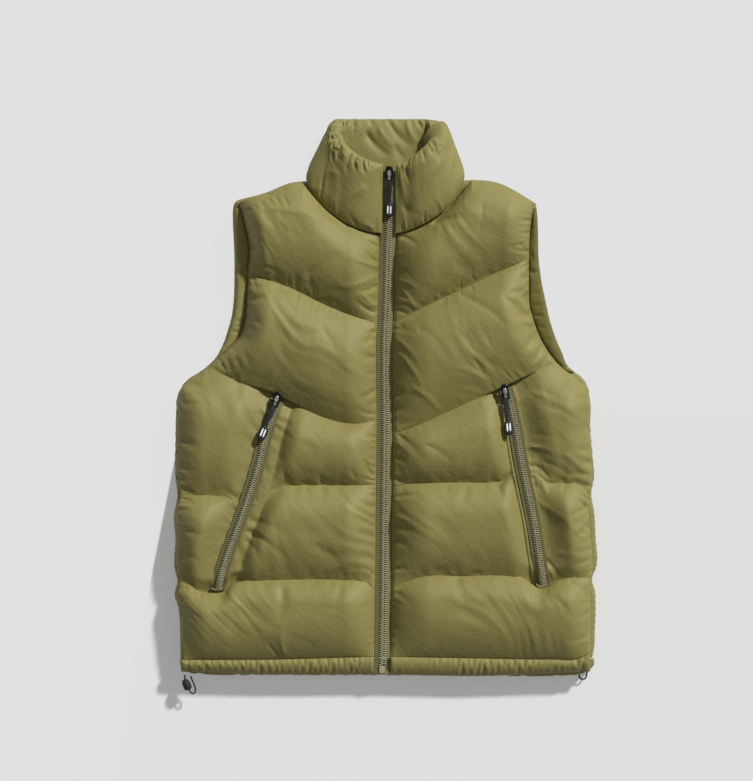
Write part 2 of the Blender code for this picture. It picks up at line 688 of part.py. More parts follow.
def make_main_zip(mats):
    centres = zip_centres(*ZIP_TAPE_ENDS)
    inner_edge, outer_edge = ZIP_CHAIN_HALF + SEAM_GAP, ZIP_HALF_CHANNEL - ZIP_TAPE_EDGE_GAP
    for side in (RIGHT, LEFT):
        ends = sorted((side.sign * inner_edge, side.sign * outer_edge))
        section = [(ends[0], 0), (ends[1], 0)]
        section += [(ends[1], ZIP_TAPE_THICK), (ends[0], ZIP_TAPE_THICK)]
        swept_strip(f"zip_tape_{side.name}", centres, section, mats["tape"])
    half, top = ZIP_CHAIN_HALF, ZIP_TAPE_THICK + ZIP_CHAIN_RISE
    flat, side_top = half - ZIP_CHAIN_CHAMFER[0], top - ZIP_CHAIN_CHAMFER[1]
    section = [(-half, 0), (half, 0), (half, side_top), (flat, top), (-flat, top), (-half, side_top)]
    swept_strip("zip_chain", zip_centres(*ZIP_CHAIN_ENDS), section, mats["chain"])
    x, z = float(hermite(ZIP_LINE, ZIP_BOX_Y)), float(hermite(ZIP_RISE, ZIP_BOX_Y))
    box = plate(ZIP_BOX_OUTLINE, ZIP_BOX_LOW, ZIP_BOX_HIGH, ZIP_BOX_CHAMFER)
    box = place(box, Matrix.Translation((x, ZIP_BOX_Y, z)))
    make_object("zip_box", box, mats["chain"], smooth=False)


# Sliders and pulls, in a frame with +Y along the zip towards its closed end and +Z out of the cloth.

HINGE_UP = 1.9
BAR_HALF = 0.9
PLATE_THICK = 3.2
PLATE_CHAMFER = 0.7
SLIDER_OUTLINE = (
    (-3.6, -9.0), (3.6, -9.0), (5.2, -3.0), (5.4, 5.0), (3.6, 9.0), (-3.6, 9.0), (-5.4, 5.0),
    (-5.2, -3.0),
)
BAIL_HALF_WIDTH = 1.2
BAIL_CLEAR = 1.7
BAIL_THICK = 1.3
BAIL_CORNER = 0.7
TAB_OUTER = (
    (-4.2, 0.9), (4.2, 0.9), (4.2, -8.0), (2.7, -12.0), (2.7, -36.0), (-2.7, -36.0), (-2.7, -12.0),
    (-4.2, -8.0),
)
TAB_HOLE = (
    (-2.4, -0.9), (2.4, -0.9), (2.4, -5.6), (1.2, -7.2), (0.9, -8.0), (-0.9, -8.0), (-1.2, -7.2),
    (-2.4, -5.6),
)
GRIP_CENTRE = -46.6
GRIP_HALF_LONG = 10.2
GRIP_HALF_WIDE = 5.7
GRIP_HALF_THICK = 2.1
GRIP_CHAMFER = 0.9


def superellipse(half_wide, half_long, centre, count=20, power=2.6):
    points = []
    for i in range(count):
        a = 2 * math.pi * i / count
        c, s = math.cos(a), math.sin(a)
        across = half_wide * math.copysign(abs(c) ** (2 / power), c)
        points.append((across, centre + half_long * math.copysign(abs(s) ** (2 / power), s)))
    return points


def make_slider(name, frame, mats):
    """A zip slider: a shield-shaped body, with a bail under which the pull's bar turns."""
    top = -HINGE_UP
    body = plate(SLIDER_OUTLINE, top - PLATE_THICK, top, PLATE_CHAMFER)
    make_object(name, place(body, frame), mats["metal"], smooth=False)
    foot, reach, turn = top + SEAM_GAP, BAIL_CLEAR + BAIL_THICK, BAIL_CLEAR - BAIL_CORNER
    profile = (
        (-reach, foot), (-BAIL_CLEAR, foot), (-BAIL_CLEAR, turn), (-turn, BAIL_CLEAR),
        (turn, BAIL_CLEAR), (BAIL_CLEAR, turn), (BAIL_CLEAR, foot), (reach, foot), (reach, turn),
        (turn, reach), (-turn, reach), (-reach, turn),
    )
    bm = bmesh.new()
    rings = []
    for x in (-BAIL_HALF_WIDTH, BAIL_HALF_WIDTH):
        rings.append([bm.verts.new((x, y, z)) for y, z in profile])
    join_rings(bm, rings[0], rings[1])
    caps = [bm.faces.new(rings[0]), bm.faces.new(rings[1])]
    bmesh.ops.triangulate(bm, faces=caps)
    make_object(f"{name}_bail", place(bm, frame), mats["metal"], smooth=False)


def make_pull(name, frame, mats):
    """A pull: a metal tab with a bar at its top, and a moulded grip at its end."""
    tab = plate(TAB_OUTER, -BAR_HALF, BAR_HALF, hole=TAB_HOLE)
    make_object(f"{name}_tab", place(tab, frame), mats["metal"], False)
    outline = superellipse(GRIP_HALF_WIDE, GRIP_HALF_LONG, GRIP_CENTRE)
    grip = plate(outline, -GRIP_HALF_THICK, GRIP_HALF_THICK, GRIP_CHAMFER)
    make_object(f"{name}_grip", place(grip, frame), mats["plastic"], False)


def zip_frame(origin, heading, pitch):
    """Frame at a hinge: heading turns it in plan, and pitch raises its +Y end."""
    turn = Matrix.Rotation(math.radians(heading), 4, "Z")
    return Matrix.Translation(origin) @ turn @ Matrix.Rotation(math.radians(pitch), 4, "X")


Hinge = namedtuple("Hinge", "x y z heading pitch pull_heading pull_pitch")
HINGES = {
    "main": Hinge(4.9, 297.5, 54.0, 0.0, 10.5, 0.0, 12.0),
    "pocket_right": Hinge(-147.5, -5.5, 51.8, -17.0, 0.0, -22.0, -1.5),
    "pocket_left": Hinge(161.5, 5.0, 51.8, 11.0, 0.0, 5.0, -3.5),
}


def make_zip_hardware(mats):
    names = {
        "main": ("zip_slider", "main_pull"),
        "pocket_right": ("pocket_slider_right", "pocket_pull_right"),
        "pocket_left": ("pocket_slider_left", "pocket_pull_left"),
    }
    for key, hinge in HINGES.items():
        origin = (hinge.x, hinge.y, hinge.z)
        slider, pull = names[key]
        make_slider(slider, zip_frame(origin, hinge.heading, hinge.pitch), mats)
        make_pull(pull, zip_frame(origin, hinge.pull_heading, hinge.pull_pitch), mats)


# Hem cords and their locks.

CORD_RADIUS = 1.1
CORD_STEP = 2.4
LOCK_SIDES = 12
LOCK_BORE = 1.9
LOCK_PROFILE = (  # radius, share of the half length
    (LOCK_BORE, -1.0), (4.2, -1.0), (5.2, -0.75), (5.6, -0.3), (5.6, 0.3), (5.2, 0.75),
    (4.2, 1.0), (LOCK_BORE, 1.0),
)
LOCK_HALF_LONG = 7.2
CORD_ROUTES = {  # x, y, z from the hem, through the lock, round and back to the hem
    "right": (
        (-271.5, -375.8, 24.0), (-271.6, -379.0, 24.0), (-270.8, -384.0, 23.6),
        (-269.0, -389.0, 23.0), (-266.6, -394.0, 22.2), (-264.4, -398.6, 21.4),
        (-261.6, -401.4, 21.0), (-258.4, -400.4, 21.0), (-257.2, -396.6, 21.2),
        (-258.0, -391.4, 22.0), (-260.2, -385.8, 23.0), (-262.4, -380.4, 24.0),
        (-263.4, -377.4, 24.0),
    ),
    "left": (
        (263.6, -374.4, 9.0), (262.6, -378.0, 8.6), (264.4, -381.8, 8.0), (268.0, -383.2, 7.4),
        (271.4, -381.4, 7.0), (273.0, -377.4, 6.6), (273.8, -371.0, 6.4), (274.4, -364.0, 6.4),
        (274.6, -357.0, 6.4), (272.6, -351.6, 6.8),
    ),
}
LOCK_AT = {"right": 3, "left": 7}


def make_cord(side, mats):
    route = np.array(CORD_ROUTES[side.name], float)
    length = np.sum(np.linalg.norm(np.diff(route, axis=0), axis=1))
    points = along(route, np.linspace(0, 1, int(length / CORD_STEP)))
    curve = bpy.data.curves.new(f"hem_cord_{side.name}", "CURVE")
    curve.dimensions = "3D"
    spline = curve.splines.new("POLY")
    spline.points.add(len(points) - 1)
    for point, at in zip(spline.points, points):
        point.co = ((at[0] - MIDDLE_X) * MM, (at[1] - MIDDLE_Y) * MM, at[2] * MM, 1.0)
    curve.bevel_depth = CORD_RADIUS * MM
    curve.bevel_resolution = 2
    curve.use_fill_caps = True
    curve.materials.append(mats["cord"])
    made = bpy.data.objects.new(f"hem_cord_{side.name}", curve)
    bpy.context.collection.objects.link(made)


def make_cord_lock(side, mats):
    """A barrel with a bore along its length, threaded on the hem cord."""
    route = [Vector(point) for point in CORD_ROUTES[side.name]]
    at = LOCK_AT[side.name]
    axis = (route[at + 1] - route[at - 1]).normalized()
    frame = Matrix.Translation(route[at]) @ axis.to_track_quat("Z", "Y").to_matrix().to_4x4()
    bm = bmesh.new()
    rings = []
    for i in range(LOCK_SIDES):
        a = 2 * math.pi * i / LOCK_SIDES
        c, s = math.cos(a), math.sin(a)
        ring = [(r * c, r * s, share * LOCK_HALF_LONG) for r, share in LOCK_PROFILE]
        rings.append([bm.verts.new(point) for point in ring])
    for i in range(LOCK_SIDES):
        join_rings(bm, rings[i], rings[(i + 1) % LOCK_SIDES])
    make_object(f"cord_lock_{side.name}", place(bm, frame), mats["plastic"])


def main():
    for old in list(bpy.data.objects):
        bpy.data.objects.remove(old)
    mats = make_materials()
    make_back(mats)
    make_hem_back(mats)
    make_collar(mats)
    make_main_zip(mats)
    for side in (RIGHT, LEFT):
        front_top = make_front(side, mats)
        make_hem_band(side, mats)
        make_armhole_facing(side, front_top, mats)
        make_cord(side, mats)
        make_cord_lock(side, mats)
    make_zip_hardware(mats)


main()
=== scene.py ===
"""Looks of the puffer vest: quilted nylon panels, collar, hem, zips, pulls and hem cords, on a pale floor.

Tables and sizes are in millimetres and meshes in metres. +Y points to the collar, +Z up from the floor, and
the wearer's right side is at -X. "out" is a distance from the middle towards one side. The tables' own middle
lies TABLE_Y above the frame's, as in the part.
"""

import math
from collections import namedtuple

import bmesh
import bpy
import numpy as np
from mathutils import Matrix, Vector


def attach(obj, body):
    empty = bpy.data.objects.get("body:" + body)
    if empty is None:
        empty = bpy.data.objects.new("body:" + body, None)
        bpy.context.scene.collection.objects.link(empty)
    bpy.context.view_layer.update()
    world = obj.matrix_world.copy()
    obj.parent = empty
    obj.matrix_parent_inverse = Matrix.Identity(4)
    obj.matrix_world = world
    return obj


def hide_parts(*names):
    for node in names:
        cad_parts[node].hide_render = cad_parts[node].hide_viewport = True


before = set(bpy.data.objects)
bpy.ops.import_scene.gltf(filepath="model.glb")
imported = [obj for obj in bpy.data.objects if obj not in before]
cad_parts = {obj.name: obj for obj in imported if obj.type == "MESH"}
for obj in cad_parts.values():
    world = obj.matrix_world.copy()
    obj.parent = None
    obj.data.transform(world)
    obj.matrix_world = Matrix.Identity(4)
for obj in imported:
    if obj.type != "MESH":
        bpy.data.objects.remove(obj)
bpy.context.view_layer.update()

MM = 0.001
TABLE_Y = 1.9
SEAM_GAP = 0.3
GARMENT = "garment"

# Heights above the floor, and heights and widths of the padding above each panel's inner plane.
BACK_TOP = 27.0
FRONT_FLOOR = BACK_TOP + SEAM_GAP
STITCHED = 6.0
SIDE_SEAM = 2.4
EDGE_ROLL = {"right": (40, 40, 40, 34, 26), "left": (34, 34, 36, 40, 36)}
ZIP_ROLL = {"right": 42.0, "left": 54.0}
ZIP_SEAM_DROP = 2.0
CHANNEL_REST = 13.0
CHANNEL_RISE = 5.5
CHANNEL_ROLL = {"inner": 25.0, "outer": 40.0}
POCKET_WELT = {"right": 13.0, "left": 5.0}
WELT_RISE = {"right": 0.5, "left": 1.4}
BAFFLE_HEIGHTS = (34.0, 37.0, 34.5, 40.5, 40.0)
BAFFLE_CRESTS = (0.68, 0.63, 0.60, 0.55, 0.58)
BAFFLE_POWER = 2.2
QUILT_SEAMS = (9.0, 14.0, 14.0, 14.0, 14.0, 14.0)
HEM_BAND_EDGE = 1.0
HEM_BAND_SEAM = 8.5
HEM_BAND_PUFF = 5.0
ZIP_HALF_CHANNEL = 10.8
ZIP_TAPE_THICK = 1.6
POCKET_HALF_CHANNEL = 10.5

Side = namedtuple("Side", "name sign")
RIGHT = Side("right", -1)
LEFT = Side("left", 1)

ZIP_LINE = (  # y, x
    (-380, -5), (-247, -3), (-139, -2), (-45, -1), (90, -1), (131, 1), (185, 2), (225, 4), (320, 5),
)
ZIP_RISE = (  # y, z of the tapes' underside
    (-380, 29.2), (120, 29.2), (190, 29.6), (215, 32.0), (245, 37.0), (280, 43.5), (320, 50.0),
)
FRONT_EDGE = {  # y, out: the side seam, then the armhole
    "right": (
        (-380, 276), (-345, 277), (-318, 277.5), (-288, 279), (-265, 283), (-248, 280.5), (-228, 283.5),
        (-190, 283.5), (-155, 284), (-133, 280.5), (-105, 283), (-60, 283.5), (-25, 283), (0, 280),
        (14, 274), (24, 262), (43, 236), (61, 217), (82, 198), (104, 190), (123, 188), (171, 186),
        (202, 184), (225, 188), (255, 195.5), (270, 199),
    ),
    "left": (
        (-380, 276), (-328, 277), (-288, 278), (-261, 277), (-234, 280), (-180, 277), (-139, 275),
        (-112, 279), (-85, 279), (-45, 276), (0, 275), (14, 269), (28, 255), (39, 239), (53, 226),
        (76, 211), (104, 200), (123, 195), (153, 194), (190, 194), (217, 195), (244, 198), (270, 204),
    ),
}
SEAM_NAMES = ("hem_top", "lower", "middle", "chest", "yoke")
SEAMS = {  # out, y: from the zip edge to the outer edge, whose own lines give the first and last out
    "right": {
        "hem_edge": ((10, -375), (150, -375), (268, -371)),
        "hem_top": ((10, -350), (180, -354), (271, -354)),
        "lower": (
            (12, -262), (24, -252), (36, -248), (60, -246.5), (117, -246), (170, -247.5), (189, -248.5),
            (206, -253), (217, -262), (236, -264.5), (254, -261), (267, -253), (280, -247),
        ),
        "middle": (
            (12, -119), (63, -119), (118, -119), (138, -120), (150, -126), (167, -138), (185, -145),
            (201, -143), (210, -137), (230, -133), (256, -132.5), (280, -133),
        ),
        "chest": ((12, -32), (43, -36), (76, -30), (126, -8), (156, 7), (195, 19), (238, 42)),
        "yoke": ((12, 99), (40, 108), (76, 122), (130, 148), (187, 167)),
    },
    "left": {
        "hem_edge": ((8, -375), (119, -377), (276, -371)),
        "hem_top": ((8, -350), (119, -352), (225, -353.5), (258, -353), (276, -345)),
        "lower": (
            (8, -259), (31, -248), (50, -242.5), (105, -241.5), (165, -241.5), (182, -244), (210, -258),
            (232, -248), (279, -243),
        ),
        "middle": (
            (8, -122), (20, -119), (60, -116), (103, -115), (140, -115), (155, -113), (172, -104),
            (199, -102.5), (221, -115), (243, -116.5), (258, -118.5), (279, -131),
        ),
        "chest": ((8, -52), (60, -31), (119, -4), (151, 9), (192, 28), (232, 46)),
        "yoke": ((10, 99), (47, 119), (83, 136), (137, 162), (194, 187)),
    },
}
NECKLINE = {  # out, y: from the zip edge to the neck point
    "right": ((8, 219), (36, 225), (56, 234), (76, 248), (96, 269), (111, 287)),
    "left": ((14, 219), (33, 224), (64, 238), (84, 254), (101, 273), (116, 293)),
}
SHOULDER = {  # out, y: from the neck point to the shoulder tip
    "right": ((111, 287), (126, 287.5), (141, 282.5), (157, 276), (173, 271.5), (187, 267.5), (198, 263)),
    "left": ((116, 293), (138, 290.5), (155, 285.5), (173, 278), (189, 268), (201, 261)),
}
NECK_SHARE = 0.5
POCKET_LINE = {  # y, out
    "right": (
        (-260, 226), (-223, 217), (-185, 203), (-135, 185), (-90, 171), (-53, 162), (-3, 146), (60, 126),
    ),
    "left": (
        (-260, 214), (-204, 205), (-166, 199), (-128, 191), (-90, 183), (-43, 175), (11, 163), (70, 150),
    ),
}
BACK_EDGE = {  # y, out: from the hem up the side and round the armhole to the shoulder tip
    "right": (
        (-353, 274), (-340, 277), (-318, 278), (-285, 281), (-268, 286), (-250, 282), (-232, 286),
        (-190, 285), (-160, 287), (-133, 282), (-110, 285), (-60, 285), (-25, 284), (2, 282), (13, 277),
        (24, 268), (36, 249), (50, 233), (68, 222), (90, 214), (108, 209), (131, 206), (160, 205),
        (190, 205), (215, 206), (240, 207), (256, 206.5), (262, 205),
    ),
    "left": (
        (-353, 280), (-340, 283), (-318, 284), (-285, 285), (-262, 284), (-247, 280), (-230, 286),
        (-190, 285), (-155, 283), (-131, 279), (-108, 283), (-80, 281), (-45, 278), (-2, 277), (12, 275),
        (27, 266), (39, 250), (61, 239), (77, 232), (104, 223), (131, 217), (155, 212), (185, 208),
        (220, 207), (245, 206), (262, 204),
    ),
}
BACK_TOP_EDGE = (  # x, y: shoulders and back of the neck, from the right tip to the left
    (-205, 262), (-202, 265.5), (-194, 268.5), (-184, 271), (-172, 274), (-157, 279), (-141, 286),
    (-128, 290.5), (-116, 292), (-60, 289.5), (0, 289.0), (60, 289.5), (121, 294), (140, 293), (156, 289),
    (173, 281), (189, 271.5), (204, 262),
)
BACK_SEAMS = (  # y at the middle, y at the sides
    (-353, -353), (-252, -246), (-136, -130), (-44, 40), (92, 168),
)
BACK_ROUND_UNDER = (14.0, 16.0)
BACK_ROUND_OVER = (7.0, 11.0)
BACK_GROOVE = 8.0

Ring = namedtuple("Ring", "base_x base_y base_z rim_x rim_y rim_z pad")
COLLAR_STATIONS = (  # mid-surface of the collar from the zip's right side, round the back, to its left side
    Ring(-4.8, 221.0, 36.6, -3.6, 313.0, 52.5, 2.6),
    Ring(-21.0, 222.6, 37.0, -21.0, 318.0, 54.0, 9.5),
    Ring(-42.0, 229.5, 38.0, -38.0, 326.5, 55.0, 11.5),
    Ring(-64.0, 241.5, 35.0, -53.0, 339.5, 50.0, 11.5),
    Ring(-86.0, 260.0, 30.5, -62.5, 355.0, 40.5, 11.0),
    Ring(-101.0, 280.0, 29.5, -64.0, 368.5, 32.0, 9.5),
    Ring(-102.0, 293.5, 22.0, -62.0, 375.5, 20.0, 9.0),
    Ring(-80.0, 292.0, 14.5, -50.0, 376.5, 13.0, 11.0),
    Ring(-40.0, 289.2, 12.6, -28.0, 376.5, 12.4, 12.0),
    Ring(3.0, 289.0, 12.6, 3.0, 376.5, 12.2, 12.0),
    Ring(46.0, 289.2, 12.6, 32.0, 376.5, 12.4, 12.0),
    Ring(84.0, 292.0, 14.5, 56.0, 376.0, 13.0, 11.0),
    Ring(101.0, 293.5, 24.0, 70.5, 373.0, 21.0, 9.5),
    Ring(99.0, 281.0, 36.0, 72.0, 366.0, 36.0, 10.0),
    Ring(88.0, 261.5, 40.0, 68.0, 352.0, 48.0, 12.0),
    Ring(67.0, 242.5, 41.0, 57.0, 341.0, 56.0, 13.0),
    Ring(46.0, 230.5, 39.5, 42.0, 328.0, 57.0, 12.0),
    Ring(28.0, 223.5, 37.2, 27.0, 316.5, 54.2, 7.5),
    Ring(13.6, 221.0, 36.6, 14.2, 313.5, 52.5, 2.6),
)
COLLAR_INSIDE = (  # station, share of the padding that stands inside the middle surface
    (0, 0.8), (2, 0.8), (4, 1.0), (5, 1.5), (6, 1.5), (7, 0.9), (9, 0.6), (11, 0.8), (12, 2.2), (13, 2.8),
    (14, 2.1), (15, 1.2), (16, 0.8), (18, 0.8),
)
COLLAR_SEAM_HALF = 2.6
COLLAR_AROUND = 280
COLLAR_UP = 38


# Curves and soft shapes.


def hermite(table, at):
    """Smooth curve through a table's rows, read at each value of its first column."""
    rows = np.array(table, float)
    knots, values = rows[:, 0], rows[:, 1:]
    steps = np.diff(knots)[:, None]
    chords = np.diff(values, axis=0) / steps
    inside = (chords[:-1] * steps[1:] + chords[1:] * steps[:-1]) / (steps[1:] + steps[:-1])
    slopes = np.vstack([chords[:1], inside, chords[-1:]])
    at = np.clip(np.asarray(at, float), knots[0], knots[-1])
    i = np.clip(np.searchsorted(knots, at, side="right") - 1, 0, len(knots) - 2)
    h = (knots[i + 1] - knots[i])[..., None]
    s = ((at - knots[i]) / (knots[i + 1] - knots[i]))[..., None]
    found = (
        (2 * s**3 - 3 * s**2 + 1) * values[i]
        + (s**3 - 2 * s**2 + s) * h * slopes[i]
        + (3 * s**2 - 2 * s**3) * values[i + 1]
        + (s**3 - s**2) * h * slopes[i + 1]
    )
    return found[..., 0] if found.shape[-1] == 1 else found


def run_length(line):
    """Distance along a line at each of its points."""
    return np.concatenate([[0.0], np.cumsum(np.linalg.norm(np.diff(line, axis=0), axis=1))])


def along(points, share):
    """Smooth curve through points, read at shares of its length."""
    rows = np.array(points, float)
    length = run_length(rows)
    return hermite(np.column_stack([length / length[-1], rows]), share)


def spread(count, evenness=0.55):
    """Shares from 0 to 1 that lie a little closer together at both ends."""
    even = np.linspace(0, 1, count + 1)
    return even * evenness + (1 - np.cos(even * math.pi)) / 2 * (1 - evenness)


def arch(share, power=2.3):
    """Height of a padded baffle across its width, 0 at its seams and 1 at its crest."""
    return np.sqrt(np.clip(1 - np.abs(2 * np.asarray(share) - 1) ** power, 0, 1))


def roll(distance, radius):
    """Round edge of padding: 0 on the edge, 1 from the radius inwards."""
    return np.sqrt(np.clip(1 - (1 - np.clip(distance / radius, 0, 1)) ** 2, 0, 1))


def slope_off(distance, radius, power=2.0):
    """Padding that slopes down to a seam without a wall: 0 on the seam, 1 from the radius inwards."""
    return 1 - (1 - np.clip(distance / radius, 0, 1)) ** power


def lens(share, crest=0.5):
    """Height of a quilted baffle from one seam to the next, with its crest at a share of the way."""
    below, above = (crest - share) / crest, (share - crest) / (1 - crest)
    return 1 - np.maximum(below, above) ** BAFFLE_POWER


def ease(value):
    """Smooth step, 0 up to 0 and 1 from 1."""
    value = np.clip(value, 0, 1)
    return value * value * (3 - 2 * value)


def box_turn(count, power_across=1.0, power_up=1.0):
    """Points round a circle of radius 1, which low powers push out towards a square."""
    turn = np.linspace(0, 2 * math.pi, count, endpoint=False)
    across, up = np.cos(turn), np.sin(turn)
    return np.sign(across) * np.abs(across) ** power_across, np.sign(up) * np.abs(up) ** power_up


LATTICE = 64
FAR_OUT = 1000


def uneven(x, y, size, seed):
    """Smooth noise from -1 to 1, whose bumps are about that size."""
    lattice = np.random.default_rng(seed).uniform(-1, 1, (LATTICE, LATTICE))
    x, y = np.asarray(x) / size + FAR_OUT, np.asarray(y) / size + FAR_OUT
    i, j = np.floor(x).astype(int), np.floor(y).astype(int)
    s, t = ease(x - i), ease(y - j)
    i, j, right, up = i % LATTICE, j % LATTICE, (i + 1) % LATTICE, (j + 1) % LATTICE
    low = lattice[i, j] * (1 - s) + lattice[right, j] * s
    high = lattice[i, up] * (1 - s) + lattice[right, up] * s
    return low * (1 - t) + high * t


# Cloth that is longer than its padding.

STRETCH_SHARE = 0.9
SHEAR_SHARE = 0.2
SLIDE_BED = 0.02
BED_ABOVE, BED_BELOW = 1.5, 0.6
MOST_MOVE = 5.0
HELD_SHARE = 0.9

Level = namedtuple("Level", "step rounds bending bed short jitter size")
LEVELS = (  # coarse grids first, where long folds form, then finer ones for short puckers
    Level(4, 260, 0.0015, 0.25, 0.0, 1.2, 34.0),
    Level(2, 160, 0.004, 0.5, 0.5, 0.35, 15.0),
    Level(1, 110, 0.009, 1.0, 1.0, 0.2, 8.0),
)


def pull_together(cloth, one, other, rest, share):
    """Moves pairs of neighbouring points towards the distance that the cloth has between them."""
    gap = cloth[other] - cloth[one]
    length = np.sqrt(gap[0] ** 2 + gap[1] ** 2 + gap[2] ** 2)
    gap *= share * 0.5 * (1 - rest / np.maximum(length, 1e-6))
    cloth[one] += gap
    cloth[other] -= gap


def neighbour_pairs(shape):
    """Pairs of grid points as slices, in sets where no point is twice: across, up, and both diagonals."""
    rows, cols = shape
    every = slice(None)
    pairs = []
    for start in (0, 1):
        count = (cols - start) // 2
        near, far = slice(start, start + 2 * count, 2), slice(start + 1, start + 2 * count, 2)
        pairs.append(("across", (every, every, near), (every, every, far)))
        count = (rows - start) // 2
        low, high = slice(start, start + 2 * count, 2), slice(start + 1, start + 2 * count, 2)
        pairs.append(("up", (every, low, every), (every, high, every)))
        pairs.append(("slant", (every, low, slice(0, -1)), (every, high, slice(1, None))))
        pairs.append(("slant", (every, low, slice(1, None)), (every, high, slice(0, -1))))
    return pairs


def bulge(field):
    """How far each point of a grid stands from the mean of its neighbours, away from the grid's edges."""
    found = np.zeros_like(field)
    middle = field[:, 1:-1, 1:-1]
    found[:, 1:-1, 1:-1] = (
        field[:, :-2, 1:-1] + field[:, 2:, 1:-1] + field[:, 1:-1, :-2] + field[:, 1:-1, 2:] - 4 * middle
    )
    return found


def grid_normals(points):
    """Directions out of a grid's surface."""
    across, up = np.gradient(points, axis=1), np.gradient(points, axis=0)
    normal = np.cross(across, up)
    return normal / np.maximum(np.linalg.norm(normal, axis=-1), 1e-9)[..., None]


def thinned(count, step, kept):
    """Every few indices of a row or column, with its ends and the ones that have to stay."""
    return np.unique(np.concatenate([np.arange(0, count, step), [count - 1], kept])).astype(int)


def between(count, kept):
    """Weights that read a value at each of count places from the values at the kept ones."""
    weights = np.zeros((count, len(kept)))
    place = np.arange(count)
    i = np.clip(np.searchsorted(kept, place, side="right") - 1, 0, len(kept) - 2)
    share = (place - kept[i]) / (kept[i + 1] - kept[i])
    weights[place, i] = 1 - share
    weights[place, i + 1] += share
    return weights


def settle(padding, pinned, free_spare, pucker_spare, bed, seed, facing_up, floor):
    """Lets cloth buckle over padding that is shorter than it.

    Each spare is the extra length across and up at each point: the first is free to form wide folds, and the
    second only forms puckers. bed is how firmly the padding holds the cloth. A floor keeps it above a height.
    """
    normal = grid_normals(padding) * facing_up
    away = np.zeros_like(padding)
    held_rows = np.flatnonzero(pinned.mean(axis=1) > HELD_SHARE)
    held_cols = np.flatnonzero(pinned.mean(axis=0) > HELD_SHARE)
    for number, level in enumerate(LEVELS):
        rows = thinned(padding.shape[0], level.step, held_rows)
        cols = thinned(padding.shape[1], level.step, held_cols)
        at = np.ix_(rows, cols)
        bumps = uneven(padding[..., 0], padding[..., 1] + padding[..., 2], level.size, seed + number)
        away += normal * (bumps * level.jitter)[..., None]
        spare = [free[at] + pucker[at] * level.short for free, pucker in zip(free_spare, pucker_spare)]
        moved = relax(padding[at], away[at], normal[at], pinned[at], bed[at] * level.bed, level, spare, floor)
        by_row, by_col = between(len(padding), rows), between(padding.shape[1], cols)
        away = np.einsum("ri,ijk,cj->rck", by_row, moved, by_col)
        away *= np.where(pinned, 0.0, 1.0)[..., None]
    size = np.linalg.norm(away, axis=-1, keepdims=True)
    cloth = padding + away * np.minimum(1, MOST_MOVE / np.maximum(size, 1e-6))
    if floor is not None:
        cloth[..., 2] = np.maximum(cloth[..., 2], floor)
    return cloth


def relax(padding, away, normal, pinned, bed, level, spare, floor):
    """How far the cloth moves from its padding on one grid."""
    padding, away, normal = (
        np.ascontiguousarray(np.moveaxis(part, -1, 0), dtype=np.float32) for part in (padding, away, normal)
    )
    pairs = []
    for kind, one, other in neighbour_pairs(pinned.shape):
        rest = np.linalg.norm(padding[other] - padding[one], axis=0)
        across = (spare[0][one[1:]] + spare[0][other[1:]]) / 2
        up = (spare[1][one[1:]] + spare[1][other[1:]]) / 2
        extra = {"across": across, "up": up, "slant": (across + up) / 2}[kind]
        rest = (rest * (1 + extra)).astype(np.float32)
        pairs.append((one, other, rest, np.float32(SHEAR_SHARE if kind == "slant" else STRETCH_SHARE)))
    free = np.where(pinned, 0.0, 1.0).astype(np.float32)
    above, below = (np.float32(hold) * bed.astype(np.float32) - SLIDE_BED for hold in (BED_ABOVE, BED_BELOW))
    for _ in range(level.rounds):
        away -= level.bending * bulge(bulge(away))
        height = (away * normal).sum(axis=0)
        away *= 1 - SLIDE_BED
        away -= np.where(height > 0, above, below) * height * normal
        cloth = padding + away * free
        for one, other, rest, share in pairs:
            pull_together(cloth, one, other, rest, share)
        if floor is not None:
            cloth[2] = np.maximum(cloth[2], floor)
        away = (cloth - padding) * free
    return np.moveaxis(away, 0, -1).astype(float)


Cloth = namedtuple("Cloth", "even patchy size free_across free_up pucker_across pucker_up")
CLOTHS = {  # extra cloth, in patches of a size that have more of it or less: free to fold, or only to pucker
    "front": Cloth(0.75, 0.55, 38.0, 0.016, 0.016, 0.035, 0.07),
    "hem": Cloth(0.75, 0.45, 22.0, 0.03, 0.0, 0.085, 0.01),
    "back": Cloth(0.7, 0.6, 40.0, 0.016, 0.016, 0.09, 0.08),
    "facing": Cloth(0.7, 0.6, 20.0, 0.01, 0.015, 0.01, 0.04),
    "collar": Cloth(0.7, 0.6, 24.0, 0.02, 0.01, 1.0, 0.0),
}
SOFT_BED, FIRM_BED = 0.003, 0.010
HEM_BED, FACING_BED = 0.008, 0.006
PUCKER_REACH = 17.0


def pins(shape, rows=(0, -1)):
    """Which points of a grid are sewn down: those of some rows and of both sides."""
    pinned = np.zeros(shape, bool)
    pinned[np.asarray(rows)] = True
    pinned[:, [0, -1]] = True
    return pinned


def settled(kind, padding, pinned, across, up, bed, patch_seed, seed, facing_up, floor=None):
    """Cloth of one kind over its padding; across and up say where it puckers that way."""
    cloth = CLOTHS[kind]
    patchy = cloth.even + cloth.patchy * uneven(padding[..., 0], padding[..., 1], cloth.size, patch_seed)
    free = (cloth.free_across * patchy, cloth.free_up * patchy)
    pucker = (cloth.pucker_across * across * patchy, cloth.pucker_up * up * patchy)
    return settle(padding, pinned, free, pucker, np.broadcast_to(bed, pinned.shape), seed, facing_up, floor)


Crease = namedtuple("Crease", "x y end_x end_y width rise")
CREASE_BOW = 0.06
CREASE_TIP = 0.2
CREASE_FALL = 1.6
CREASE_START, CREASE_END = 5, 0.8
CREASE_NARROW, CREASE_WIDENING = 0.55, 0.75


